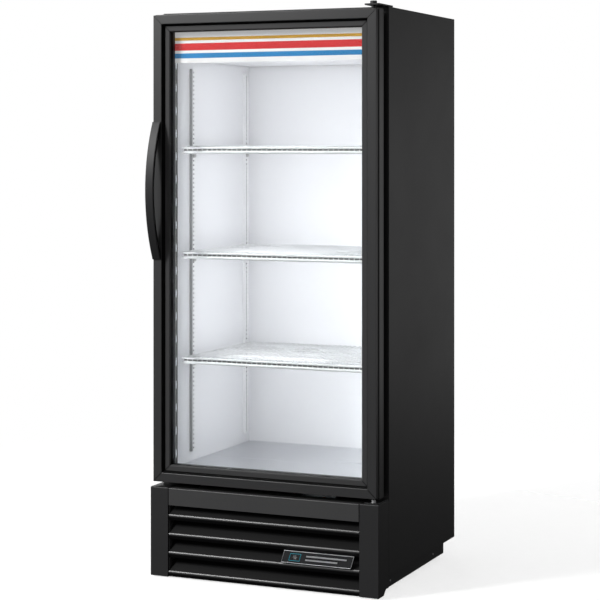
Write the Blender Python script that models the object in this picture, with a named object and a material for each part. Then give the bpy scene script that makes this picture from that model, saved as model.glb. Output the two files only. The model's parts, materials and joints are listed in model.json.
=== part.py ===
"""Reach-in glass-door refrigerator: one named object for each piece, in metres, +Z up.

The front faces -Y. The origin is at the middle of the box that holds the object, on the floor.
"""

import math

import bmesh
import bpy
from mathutils import Matrix, Vector

GAP = 0.0003  # left between pieces that touch
SHEET = 0.001  # folded sheet metal

# Cabinet
WIDTH = 0.686
DEPTH = 0.625  # front of the base to the rear panel
HEIGHT = 1.585
HANDLE_REACH = 0.0461  # the handle in front of the base
FRONT_Y = (HANDLE_REACH - DEPTH) / 2
REAR_Y = FRONT_Y + DEPTH
CASE_Y = FRONT_Y + 0.078  # front edge of the insulated case
SIDE_X = WIDTH / 2
CASE_BOTTOM = 0.0465  # lower edge of the side panels
MACHINE_TOP = 0.260  # roof of the machine compartment

# Storage room inside the liner
ROOM_X = 0.300
ROOM_FLOOR = 0.300
ROOM_CEILING = 1.540
ROOM_REAR = CASE_Y + 0.482
JAMB_WIDTH = 0.0245
JAMB_THICK = 0.0025

# Shelves, counted from the top
SHELF_TOPS = (1.209, 0.910, 0.611)
SHELF_THICK = 0.008
SHELF_X = 0.287
SHELF_FRONT = FRONT_Y + 0.1083
SHELF_REAR = FRONT_Y + 0.540
SHELF_COLUMNS, SHELF_ROWS = 11, 3
SHELF_BAR = 0.006
MOULDING_X = 0.295
MOULDING_FRONT = FRONT_Y + 0.100
MOULDING_HEIGHT = 0.0195
PILASTER_FRONTS = (FRONT_Y + 0.158, FRONT_Y + 0.513)
PILASTER_WIDTH = 0.022
PILASTER_DEPTH = 0.0097

# Door, as distances u inwards from its outer edge and y behind the front of the base
DOOR_X = 0.338
DOOR_BOTTOM = 0.2645
DOOR_TOP = 1.5775
HINGE_X = 0.322
HINGE_Y = FRONT_Y + 0.018
PIN_R = 0.004
GLASS_U = 0.0345
LIP_U = 0.048
LIGHT_U = 0.040

# Handle
HANDLE_LOW, HANDLE_HIGH = 0.890, 1.276
HANDLE_X = (-0.337, -0.311)
HANDLE_FOOT = 0.004  # how far the ends stand off the door
HANDLE_THICK = 0.0095

# Base
CAP_WIDTH = 0.055
CAP_TOP = 0.2525
GRILLE_X = 0.2875
SLAT_NOSES = (0.1744, 0.1221, 0.0704, 0.0167)
RAIL_X = 0.338
RAIL_LOW = 0.015
DECK_TOP = 0.0462
RAIL_REAR = FRONT_Y + 0.540
FOOT_X = 0.290
FOOT_YS = (FRONT_Y + 0.118, FRONT_Y + 0.500)

# Cooling machinery
CONDENSER_FAN = (-0.095, FRONT_Y + 0.180, 0.146)
EVAPORATOR_FAN = (-0.120, FRONT_Y + 0.183, 1.495)
COMPRESSOR = (0.130, FRONT_Y + 0.430)
CHASE_X = (0.180, 0.222)
COVER_LOW = 1.452

FINISHES = {
    "black_steel": ((0.030, 0.030, 0.031), 0.42, 0.2),
    "black_aluminium": ((0.045, 0.045, 0.047), 0.36, 0.4),
    "black_plastic": ((0.022, 0.022, 0.023), 0.45, 0.0),
    "black_rubber": ((0.018, 0.018, 0.019), 0.8, 0.0),
    "white_metal": ((0.86, 0.87, 0.88), 0.35, 0.0),
    "white_plastic": ((0.82, 0.83, 0.84), 0.45, 0.0),
    "steel": ((0.60, 0.61, 0.63), 0.33, 1.0),
    "galvanised": ((0.50, 0.52, 0.54), 0.5, 0.9),
    "aluminium": ((0.70, 0.71, 0.72), 0.4, 1.0),
    "copper": ((0.72, 0.36, 0.20), 0.35, 1.0),
    "foam": ((0.80, 0.70, 0.42), 0.9, 0.0),
    "glass": ((0.80, 0.90, 0.88), 0.03, 0.0),
    "lamp": ((0.95, 0.97, 1.0), 0.3, 0.0),
    "sign": ((0.92, 0.92, 0.92), 0.4, 0.0),
    "grey_plastic": ((0.35, 0.36, 0.37), 0.5, 0.0),
}


def clear_scene():
    for thing in list(bpy.data.objects):
        bpy.data.objects.remove(thing, do_unlink=True)


def finish(name, kind):
    colour, roughness, metallic = FINISHES[kind]
    material = bpy.data.materials.new(name + "_" + kind)
    material.use_nodes = True
    shader = material.node_tree.nodes["Principled BSDF"]
    shader.inputs["Base Color"].default_value = (*colour, 1.0)
    shader.inputs["Roughness"].default_value = roughness
    shader.inputs["Metallic"].default_value = metallic
    material.diffuse_color = (*colour, 1.0)
    return material


def place(name, bm, kind, smooth=False):
    """Puts a finished mesh into the scene; kind None makes a cutter or a piece to join."""
    bmesh.ops.remove_doubles(bm, verts=bm.verts, dist=1e-6)
    bmesh.ops.recalc_face_normals(bm, faces=bm.faces)
    mesh = bpy.data.meshes.new(name)
    bm.to_mesh(mesh)
    bm.free()
    if smooth:
        mesh.shade_smooth()
        mesh.set_sharp_from_angle(angle=math.radians(35))
    piece = bpy.data.objects.new(name, mesh)
    bpy.context.scene.collection.objects.link(piece)
    if kind is None:
        piece.hide_render = True
        piece.display_type = "WIRE"
    else:
        mesh.materials.append(finish(name, kind))
    return piece


def box(name, low, high, kind=None):
    low, high = Vector(low), Vector(high)
    bm = bmesh.new()
    bmesh.ops.create_cube(bm, size=1.0)
    bmesh.ops.scale(bm, vec=high - low, verts=bm.verts)
    bmesh.ops.translate(bm, vec=(low + high) / 2, verts=bm.verts)
    return place(name, bm, kind)


def along(axis, a, b, t):
    """The point with (a, b) across the axis and t along it, in X, Y, Z order."""
    return {"X": (t, a, b), "Y": (a, t, b), "Z": (a, b, t)}[axis]


def plate_mesh(outline, holes, axis, low, high):
    """A flat outline with holes, extruded from low to high along the axis."""
    bm = bmesh.new()
    edges = []
    for loop in [outline, *holes]:
        corners = [bm.verts.new(along(axis, a, b, low)) for a, b in loop]
        edges += [bm.edges.new((p, q)) for p, q in zip(corners, corners[1:] + corners[:1])]
    bmesh.ops.triangle_fill(bm, use_beauty=True, edges=edges)
    face = bmesh.ops.extrude_face_region(bm, geom=bm.faces[:])
    moved = [item for item in face["geom"] if isinstance(item, bmesh.types.BMVert)]
    bmesh.ops.translate(bm, vec=along(axis, 0, 0, high - low), verts=moved)
    return bm


def prism(name, outline, axis, low, high, kind=None, holes=()):
    return place(name, plate_mesh(outline, holes, axis, low, high), kind)


def rectangle(a0, b0, a1, b1):
    return [(a0, b0), (a1, b0), (a1, b1), (a0, b1)]


def turned(name, profile, centre, axis, kind=None, sides=32):
    """A profile of (radius, height) points spun round the axis through the centre."""
    bm = bmesh.new()
    points = [bm.verts.new(along(axis, radius, 0, height)) for radius, height in profile]
    edges = [bm.edges.new(pair) for pair in zip(points, points[1:])]
    direction = along(axis, 0, 0, 1)
    bmesh.ops.spin(
        bm, geom=points + edges, cent=(0, 0, 0), axis=direction, angle=math.tau, steps=sides
    )
    bmesh.ops.remove_doubles(bm, verts=bm.verts, dist=1e-6)
    bmesh.ops.translate(bm, vec=centre, verts=bm.verts)
    return place(name, bm, kind, smooth=True)


def ring(name, profile, half_width, bottom, top, kind):
    """A closed (u, y) profile carried round a rectangle, mitred at its corners."""
    bm = bmesh.new()
    loops = []
    for side, level, up in ((-1, bottom, 1), (1, bottom, 1), (1, top, -1), (-1, top, -1)):
        loops.append([bm.verts.new((side * (half_width - u), y, level + up * u)) for u, y in profile])
    count = len(profile)
    for first, second in zip(loops, loops[1:] + loops[:1]):
        for i in range(count):
            j = (i + 1) % count
            bm.faces.new((first[i], first[j], second[j], second[i]))
    return place(name, bm, kind)


def member(name, profile, core, edge, kind):
    """One side of the door frame: a hollow (u, y) profile with both ends mitred at 45 degrees."""
    bm = plate_mesh(profile, [core], "Z", 0.0, 1.0)
    middle = (DOOR_BOTTOM + DOOR_TOP) / 2
    half_height = (DOOR_TOP - DOOR_BOTTOM) / 2
    mitre = GAP / 2
    for vert in bm.verts:
        u, y = vert.co.x, vert.co.y
        half = (half_height if edge in ("left", "right") else DOOR_X) - u - mitre
        reach = half if vert.co.z > 0.5 else -half
        if edge in ("left", "right"):
            side = -1 if edge == "left" else 1
            vert.co = (side * (DOOR_X - u), y, middle + reach)
        else:
            side = -1 if edge == "bottom" else 1
            vert.co = (reach, y, middle + side * (half_height - u))
    return place(name, bm, kind)


def rounded_route(points, radius, steps=4):
    """The route with each corner rounded by a short curve that starts a radius before it."""
    route = [Vector(points[0])]
    for before, corner, after in zip(points, points[1:], points[2:]):
        before, corner, after = Vector(before), Vector(corner), Vector(after)
        start = corner + (before - corner).normalized() * radius
        end = corner + (after - corner).normalized() * radius
        for step in range(steps + 1):
            t = step / steps
            route.append(start * (1 - t) ** 2 + corner * 2 * t * (1 - t) + end * t**2)
    return route + [Vector(points[-1])]


def tube(name, points, radius, bend, kind):
    route = rounded_route(points, bend)
    curve = bpy.data.curves.new(name, "CURVE")
    curve.dimensions = "3D"
    curve.bevel_depth = radius
    curve.bevel_resolution = 2
    curve.use_fill_caps = True
    spline = curve.splines.new("POLY")
    spline.points.add(len(route) - 1)
    for point, where in zip(spline.points, route):
        point.co = (*where, 1.0)
    curve.materials.append(finish(name, kind))
    piece = bpy.data.objects.new(name, curve)
    bpy.context.scene.collection.objects.link(piece)
    return piece


def boolean(piece, operation, *others):
    for other in others:
        modifier = piece.modifiers.new(operation.lower() + "_" + other.name, "BOOLEAN")
        modifier.operation = operation
        modifier.solver = "EXACT"
        modifier.object = other
    return piece


def pivot(name, location, pieces):
    """An empty on a joint's axis, which carries the pieces that move about it."""
    empty = bpy.data.objects.new(name, None)
    empty.empty_display_size = 0.05
    empty.location = location
    bpy.context.scene.collection.objects.link(empty)
    for piece in pieces:
        piece.parent = empty
        piece.matrix_parent_inverse = Matrix.Translation(-Vector(location))
    return empty


def insulated_case():
    """Foam walls, their liner and the opening's trim."""
    front = CASE_Y + JAMB_THICK + GAP
    wall = SHEET + GAP
    foam = box(
        "foam_body",
        (-SIDE_X + wall, front, MACHINE_TOP + GAP),
        (SIDE_X - wall, REAR_Y - wall, HEIGHT - wall),
        "foam",
    )
    hollow = ROOM_X + wall
    room = box(
        "foam_room_cutter",
        (-hollow, front - 0.02, ROOM_FLOOR - wall),
        (hollow, ROOM_REAR + wall, ROOM_CEILING + wall),
    )
    chase = box(
        "chase_cutter",
        (CHASE_X[0], REAR_Y - 0.022, MACHINE_TOP - 0.01),
        (CHASE_X[1], REAR_Y + 0.01, 1.500),
    )
    doorway = box(
        "line_hole_cutter",
        (CHASE_X[0] + 0.004, ROOM_REAR - 0.01, 1.470),
        (CHASE_X[1] - 0.004, REAR_Y + 0.01, 1.496),
    )
    boolean(foam, "DIFFERENCE", room, chase, doorway)
    liner = box(
        "inner_liner",
        (-ROOM_X - SHEET, front, ROOM_FLOOR - SHEET),
        (ROOM_X + SHEET, ROOM_REAR + SHEET, ROOM_CEILING + SHEET),
        "white_metal",
    )
    space = box(
        "liner_room_cutter",
        (-ROOM_X, front - 0.02, ROOM_FLOOR),
        (ROOM_X, ROOM_REAR, ROOM_CEILING),
    )
    boolean(liner, "DIFFERENCE", space, doorway)
    box(
        "floor_pan",
        (-ROOM_X + 0.0015, front, ROOM_FLOOR + GAP),
        (ROOM_X - 0.0015, ROOM_REAR - GAP, ROOM_FLOOR + GAP + SHEET),
        "steel",
    )
    trim = [(0, CASE_Y), (0, CASE_Y + JAMB_THICK), (JAMB_WIDTH, CASE_Y + JAMB_THICK), (JAMB_WIDTH, CASE_Y)]
    ring(
        "front_jamb",
        trim,
        ROOM_X + JAMB_WIDTH,
        ROOM_FLOOR - JAMB_WIDTH,
        ROOM_CEILING + JAMB_WIDTH,
        "black_plastic",
    )


def outer_panels():
    """The steel skin: sides, top, rear, and the strip under the door opening."""
    flange = ROOM_X + JAMB_WIDTH + 0.0005
    for name, side in (("left_side_panel", -1), ("right_side_panel", 1)):
        outline = [
            (side * SIDE_X, CASE_Y),
            (side * SIDE_X, REAR_Y),
            (side * (SIDE_X - SHEET), REAR_Y),
            (side * (SIDE_X - SHEET), CASE_Y + SHEET),
            (side * flange, CASE_Y + SHEET),
            (side * flange, CASE_Y),
        ]
        prism(name, outline, "Z", CASE_BOTTOM, HEIGHT, "black_steel")
    inner = SIDE_X - SHEET - GAP
    lip = ROOM_CEILING + JAMB_WIDTH + 0.0005
    top = [
        (CASE_Y, lip),
        (CASE_Y, HEIGHT),
        (REAR_Y, HEIGHT),
        (REAR_Y, HEIGHT - SHEET),
        (CASE_Y + SHEET, HEIGHT - SHEET),
        (CASE_Y + SHEET, lip),
    ]
    panel = prism("top_panel", top, "X", -inner, inner, "black_steel")
    # The front lip stops short of the side panels' own front flanges.
    corners = [
        box(
            name,
            (min(side * (flange - GAP), side * SIDE_X), CASE_Y - 0.01, lip - 0.01),
            (max(side * (flange - GAP), side * SIDE_X), CASE_Y + SHEET + GAP, HEIGHT + 0.01),
        )
        for name, side in (("top_left_notch", -1), ("top_right_notch", 1))
    ]
    boolean(panel, "DIFFERENCE", *corners)
    box(
        "rear_panel",
        (-inner, REAR_Y - SHEET, MACHINE_TOP + 0.002),
        (inner, REAR_Y, HEIGHT - SHEET - GAP),
        "galvanised",
    )
    rail_top = ROOM_FLOOR - JAMB_WIDTH - 0.0005
    rail = [
        (CASE_Y, 0.254),
        (CASE_Y, rail_top),
        (CASE_Y + SHEET, rail_top),
        (CASE_Y + SHEET, 0.255),
        (CASE_Y + 0.030, 0.255),
        (CASE_Y + 0.030, 0.254),
    ]
    prism("lower_front_rail", rail, "X", -flange + 0.0005, flange - 0.0005, "black_steel")


def rear_louver_panel():
    """The removable vent panel behind the machine compartment, with an opening for the power inlet."""
    inner = SIDE_X - SHEET - GAP
    low, high = 0.050, MACHINE_TOP + 0.002 - GAP
    holes = []
    for column in range(3):
        left = -0.310 + column * 0.165
        for row in range(7):
            bottom = low + 0.030 + row * 0.024
            holes.append(rectangle(left, bottom, left + 0.140, bottom + 0.008))
    holes.append(rectangle(0.2345, 0.0795, 0.3055, 0.1405))
    prism(
        "rear_louver_panel",
        rectangle(-inner, low, inner, high),
        "Y",
        REAR_Y - SHEET,
        REAR_Y,
        "galvanised",
        holes,
    )
    inlet = box(
        "power_inlet_box",
        (0.235, REAR_Y - 0.050, 0.080),
        (0.305, REAR_Y - 0.012, 0.140),
        "black_plastic",
    )
    boss = turned(
        "inlet_gland",
        [(0, -0.016), (0.011, -0.016), (0.011, -0.006), (0.009, -0.0005), (0, -0.0005)],
        (0.270, REAR_Y, 0.110),
        "Y",
        sides=20,
    )
    bore = turned(
        "inlet_bore_cutter",
        [(0, -0.030), (0.004, -0.030), (0.004, 0.010), (0, 0.010)],
        (0.270, REAR_Y, 0.110),
        "Y",
        sides=16,
    )
    boolean(inlet, "UNION", boss)
    boolean(inlet, "DIFFERENCE", bore)


def pilasters():
    """The four upright strips that hold the shelf clips."""
    for end, front in zip(("front", "rear"), PILASTER_FRONTS):
        rear = front + PILASTER_WIDTH
        for side_name, side in (("left", -1), ("right", 1)):
            wall = side * (ROOM_X - GAP)
            face = side * (ROOM_X - GAP - PILASTER_DEPTH)
            back = face + side * 0.0012
            outline = [
                (wall, front),
                (face, front),
                (face, rear),
                (wall, rear),
                (wall, rear - 0.0012),
                (back, rear - 0.0012),
                (back, front + 0.0012),
                (wall, front + 0.0012),
            ]
            prism(f"{side_name}_{end}_pilaster", outline, "Z", 0.330, 1.430, "white_metal")


def shelf_holes():
    """The openings between a shelf's bars, in even columns and rows."""
    width = (2 * SHELF_X - SHELF_BAR) / SHELF_COLUMNS
    length = (SHELF_REAR - SHELF_FRONT - SHELF_BAR) / SHELF_ROWS
    holes = []
    for column in range(SHELF_COLUMNS):
        left = -SHELF_X + SHELF_BAR + column * width
        for row in range(SHELF_ROWS):
            front = SHELF_FRONT + SHELF_BAR + row * length
            holes.append(rectangle(left, front, left + width - SHELF_BAR, front + length - SHELF_BAR))
    return holes


def shelves():
    """Three wire shelves with a channel for price tags along each front edge."""
    outline = rectangle(-SHELF_X, SHELF_FRONT, SHELF_X, SHELF_REAR)
    rear, recess = MOULDING_FRONT + 0.008, MOULDING_FRONT + 0.004
    lip = 0.0035
    for number, top in enumerate(SHELF_TOPS, start=1):
        shelf = prism(f"shelf_{number}", outline, "Z", top - SHELF_THICK, top, "white_metal", shelf_holes())
        high = top - 0.003
        low = high - MOULDING_HEIGHT
        channel = [
            (rear, high),
            (MOULDING_FRONT, high),
            (MOULDING_FRONT, high - lip),
            (recess, high - lip),
            (recess, low + lip),
            (MOULDING_FRONT, low + lip),
            (MOULDING_FRONT, low),
            (rear, low),
        ]
        moulding = prism(f"tag_moulding_{number}", channel, "X", -MOULDING_X, MOULDING_X, "white_plastic")
        pivot(f"shelf_{number}_pivot", (0, (SHELF_FRONT + SHELF_REAR) / 2, top), [shelf, moulding])


def fin_pack(name, across, levels, depths):
    """Upright fins at an even pitch between two end plates, open from front to back."""
    header, pitch, fin = 0.004, 0.010, 0.0015
    start, end = across[0] + header, across[1] - header
    count = round((end - start) / pitch)
    step = (end - start) / count
    slots = [
        rectangle(
            start + i * step + fin / 2,
            levels[0] + header,
            start + (i + 1) * step - fin / 2,
            levels[1] - header,
        )
        for i in range(count)
    ]
    outline = rectangle(across[0], levels[0], across[1], levels[1])
    return prism(name, outline, "Y", *depths, "aluminium", slots)


def fan_blade(name, centre, tip, hub, width, kind):
    """A hub with a running bore and four pitched blades."""
    half = width / 2
    wheel = turned(
        name,
        [(0.0023, -half), (hub, -half), (hub, half), (0.0023, half), (0.0023, -half)],
        centre,
        "Y",
        kind,
        sides=20,
    )
    blades = []
    for quarter in range(4):
        bm = bmesh.new()
        bmesh.ops.create_cube(bm, size=1.0)
        length = tip - hub + 0.002
        bmesh.ops.scale(bm, vec=(length, 0.0016, tip * 0.72), verts=bm.verts)
        pitch = Matrix.Rotation(math.radians(24), 3, "X")
        bmesh.ops.rotate(bm, cent=(0, 0, 0), matrix=pitch, verts=bm.verts)
        bmesh.ops.translate(bm, vec=(hub - 0.002 + length / 2, 0, 0), verts=bm.verts)
        turn = Matrix.Rotation(quarter * math.pi / 2, 3, "Y")
        bmesh.ops.rotate(bm, cent=(0, 0, 0), matrix=turn, verts=bm.verts)
        bmesh.ops.translate(bm, vec=centre, verts=bm.verts)
        blades.append(place(f"{name}_vane_{quarter}", bm, None))
    boolean(wheel, "UNION", *blades)
    pivot(name + "_pivot", centre, [wheel])


def evaporator():
    """The cold unit under the ceiling: cover, coil, fan and controls."""
    front, rear = FRONT_Y + 0.150, FRONT_Y + 0.545
    sheet = 0.0015
    cover = box(
        "evaporator_cover",
        (-0.290, front, COVER_LOW),
        (0.290, rear, ROOM_CEILING - 0.0015),
        "white_metal",
    )
    inside = box(
        "cover_cutter",
        (-0.290 + sheet, front + sheet, COVER_LOW + sheet),
        (0.290 - sheet, rear + 0.01, ROOM_CEILING + 0.02),
    )
    x, y, z = EVAPORATOR_FAN
    mouth = turned(
        "fan_mouth_cutter",
        [(0, -0.02), (0.036, -0.02), (0.036, 0.02), (0, 0.02)],
        (x, front, z),
        "Y",
        sides=28,
    )
    slots = [
        box(
            f"return_slot_cutter_{i}",
            (-0.200 + i * 0.080, FRONT_Y + 0.300, COVER_LOW - 0.01),
            (-0.150 + i * 0.080, FRONT_Y + 0.325, COVER_LOW + 0.01),
        )
        for i in range(5)
    ]
    boolean(cover, "DIFFERENCE", inside, mouth, *slots)
    fin_pack("evaporator_coil", (-0.262, 0.150), (1.4545, 1.5365), (FRONT_Y + 0.345, FRONT_Y + 0.495))
    motor = turned(
        "evaporator_fan_motor",
        [(0, -0.006), (0.002, -0.006), (0.002, 0.012), (0.007, 0.012), (0.016, 0.015), (0.018, 0.019),
         (0.018, 0.045), (0.014, 0.050), (0, 0.050)],
        (x, y, z),
        "Y",
        "black_steel",
        sides=24,
    )
    stand = box(
        "evaporator_motor_stand",
        (x - 0.010, y + 0.022, COVER_LOW + sheet + GAP),
        (x + 0.010, y + 0.038, z),
    )
    boolean(motor, "UNION", stand)
    fan_blade("evaporator_fan_blade", EVAPORATOR_FAN, 0.033, 0.009, 0.010, "black_plastic")


def controls():
    """The control box in front of the evaporator cover, with its dial and light switch."""
    face = FRONT_Y + 0.118
    housing = box(
        "temperature_control",
        (0.195, face, 1.460),
        (0.285, FRONT_Y + 0.150 - GAP, 1.532),
        "white_plastic",
    )
    switch = (0.263, face + 0.003, 1.496)
    recess = box(
        "switch_recess_cutter",
        (switch[0] - 0.0115, face - 0.01, switch[2] - 0.014),
        (switch[0] + 0.0115, face + 0.012, switch[2] + 0.014),
    )
    boolean(housing, "DIFFERENCE", recess)
    knob = turned(
        "temperature_dial",
        [(0, -0.0140), (0.0150, -0.0140), (0.0165, -0.0125), (0.0180, -0.0030), (0.0195, -0.0010),
         (0.0195, -GAP), (0, -GAP)],
        (0.222, face, 1.496),
        "Y",
        "grey_plastic",
        sides=32,
    )
    pivot("temperature_dial_pivot", (0.222, face, 1.496), [knob])
    # The rocker's side view about its own axis, resting with its upper half pressed in.
    shape = [(0.003, -0.008), (-0.005, -0.0115), (-0.0065, 0), (-0.005, 0.0115), (0.003, 0.008)]
    tilt = math.radians(-8)
    outline = [
        (
            switch[1] + y * math.cos(tilt) - z * math.sin(tilt),
            switch[2] + y * math.sin(tilt) + z * math.cos(tilt),
        )
        for y, z in shape
    ]
    rocker = prism("light_switch", outline, "X", switch[0] - 0.010, switch[0] + 0.010, "black_plastic")
    pivot("light_switch_pivot", switch, [rocker])


def base_frame():
    """The deck of the machine compartment with a folded rail down each side."""
    flange = 0.066
    sheet = 0.002
    outline = [
        (-RAIL_X, RAIL_LOW),
        (-RAIL_X + flange, RAIL_LOW),
        (-RAIL_X + flange, RAIL_LOW + sheet),
        (-RAIL_X + sheet, RAIL_LOW + sheet),
        (-RAIL_X + sheet, DECK_TOP - sheet),
        (RAIL_X - sheet, DECK_TOP - sheet),
        (RAIL_X - sheet, RAIL_LOW + sheet),
        (RAIL_X - flange, RAIL_LOW + sheet),
        (RAIL_X - flange, RAIL_LOW),
        (RAIL_X, RAIL_LOW),
        (RAIL_X, DECK_TOP),
        (-RAIL_X, DECK_TOP),
    ]
    frame = prism("base_frame", outline, "Y", CASE_Y + 0.002, REAR_Y - 0.003, "black_steel")
    overhang = box("rail_end_cutter", (-0.4, RAIL_REAR, 0.0), (0.4, REAR_Y + 0.01, DECK_TOP - sheet))
    holes = [
        turned(
            f"foot_hole_cutter_{number}",
            [(0, 0.010), (0.0053, 0.010), (0.0053, 0.022), (0, 0.022)],
            (x, y, 0),
            "Z",
            sides=20,
        )
        for number, (x, y) in enumerate(foot_places())
    ]
    boolean(frame, "DIFFERENCE", overhang, *holes)


def foot_places():
    return [(x, y) for y in FOOT_YS for x in (-FOOT_X, FOOT_X)]


def levelling_feet():
    profile = [
        (0, 0), (0.0150, 0), (0.0165, 0.0015), (0.0165, 0.0055), (0.0140, 0.0080), (0.0095, 0.0085),
        (0.0095, 0.0147), (0.0048, 0.0147), (0.0048, 0.0390), (0.0040, 0.0400), (0, 0.0400),
    ]
    for name, (x, y) in zip(("front_left", "front_right", "rear_left", "rear_right"), foot_places()):
        foot = turned(name + "_foot", profile, (x, y, 0), "Z", "black_rubber", sides=20)
        pivot(name + "_foot_pivot", (x, y, 0), [foot])


def corner_caps():
    """The two moulded covers beside the grille, open at the back."""
    rear = CASE_Y - GAP
    outline = [
        (FRONT_Y, 0.003),
        (FRONT_Y + 0.040, 0.003),
        (FRONT_Y + 0.056, 0.017),
        (rear, 0.017),
        (rear, CAP_TOP),
        (FRONT_Y, CAP_TOP),
    ]
    wall = 0.0025
    hollow = [
        (FRONT_Y + wall, 0.003 + wall),
        (FRONT_Y + 0.040 - 0.001, 0.003 + wall),
        (FRONT_Y + 0.056 - 0.001, 0.017 + wall),
        (rear + 0.01, 0.017 + wall),
        (rear + 0.01, CAP_TOP - wall),
        (FRONT_Y + wall, CAP_TOP - wall),
    ]
    for name, side in (("left_corner_cap", -1), ("right_corner_cap", 1)):
        low, high = sorted((side * SIDE_X, side * (SIDE_X - CAP_WIDTH)))
        cap = prism(name, outline, "X", low, high, "black_plastic")
        cutter = prism(name + "_cutter", hollow, "X", low + wall, high - wall)
        boolean(cap, "DIFFERENCE", cutter)


def front_grille():
    """The removable front: a flat panel over four louvres between two end plates."""
    panel_low, panel_high = 0.2038, 0.2516
    sheet = 0.0016
    panel = [
        (FRONT_Y, panel_low),
        (FRONT_Y, panel_high),
        (FRONT_Y + 0.045, panel_high),
        (FRONT_Y + 0.045, panel_high - sheet),
        (FRONT_Y + sheet, panel_high - sheet),
        (FRONT_Y + sheet, panel_low),
    ]
    grille = prism("front_grille", panel, "X", -GRILLE_X, GRILLE_X, "black_plastic")
    joined = []
    slat = [
        (0.0040, -0.0130), (0.0006, -0.0030), (0, 0), (0.0015, 0.0035), (0.0380, 0.0400),
        (0.0396, 0.0384), (0.0038, 0.0026), (0.0024, -0.0002), (0.0028, -0.0026), (0.0061, -0.0123),
    ]
    for number, nose in enumerate(SLAT_NOSES, start=1):
        outline = [(FRONT_Y + 0.001 + y, nose + z) for y, z in slat]
        joined.append(prism(f"grille_slat_{number}", outline, "X", -GRILLE_X + 0.001, GRILLE_X - 0.001))
    for name, side in (("grille_left_end", -1), ("grille_right_end", 1)):
        low, high = sorted((side * GRILLE_X, side * (GRILLE_X - 0.002)))
        base, crown = (low, FRONT_Y + 0.0005, 0.0045), (high, FRONT_Y + 0.0442, panel_high - 0.0005)
        joined.append(box(name, base, crown))
    boolean(grille, "UNION", *joined)


def nameplate():
    """A plain leaning plate on two posts, in front of the louvres."""
    low, high = 0.077, 0.110
    lean = 0.010
    outline = [(0.060, low), (0.264, low), (0.264 + lean, high), (0.060 + lean, high)]
    plate = prism("nameplate", outline, "Y", FRONT_Y - 0.0030, FRONT_Y - 0.0005, "steel")
    posts = [
        turned(
            f"nameplate_post_{number}",
            [(0, -0.0015), (0.004, -0.0015), (0.004, 0.0150), (0, 0.0150)],
            (x, FRONT_Y, 0.092),
            "Y",
            sides=16,
        )
        for number, x in enumerate((0.095, 0.240))
    ]
    boolean(plate, "UNION", *posts)


def condenser():
    """Finned coil behind the grille, with its shroud and fan."""
    x, y, z = CONDENSER_FAN
    fin_pack("condenser_coil", (-0.255, 0.060), (0.050, 0.243), (FRONT_Y + 0.098, FRONT_Y + 0.146))
    shroud = box(
        "condenser_fan_shroud",
        (x - 0.110, FRONT_Y + 0.1465, 0.050),
        (x + 0.110, FRONT_Y + 0.1700, 0.242),
        "black_steel",
    )
    mouth = turned(
        "shroud_mouth_cutter",
        [(0, 0.0225), (0.088, 0.0225), (0.088, 0.080), (0, 0.080)],
        (x, FRONT_Y + 0.1265, z),
        "Y",
        sides=32,
    )
    pocket = box(
        "shroud_pocket_cutter",
        (x - 0.107, FRONT_Y + 0.120, 0.053),
        (x + 0.107, FRONT_Y + 0.168, 0.239),
    )
    boolean(shroud, "DIFFERENCE", pocket, mouth)
    motor = turned(
        "condenser_fan_motor",
        [(0, -0.006), (0.002, -0.006), (0.002, 0.014), (0.010, 0.014), (0.030, 0.020), (0.034, 0.026),
         (0.034, 0.060), (0.028, 0.068), (0, 0.068)],
        (x, y, z),
        "Y",
        "black_steel",
        sides=24,
    )
    stand = box("condenser_motor_stand", (x - 0.018, y + 0.032, DECK_TOP + GAP), (x + 0.018, y + 0.050, z))
    boolean(motor, "UNION", stand)
    fan_blade("condenser_fan_blade", CONDENSER_FAN, 0.082, 0.016, 0.014, "aluminium")


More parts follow.
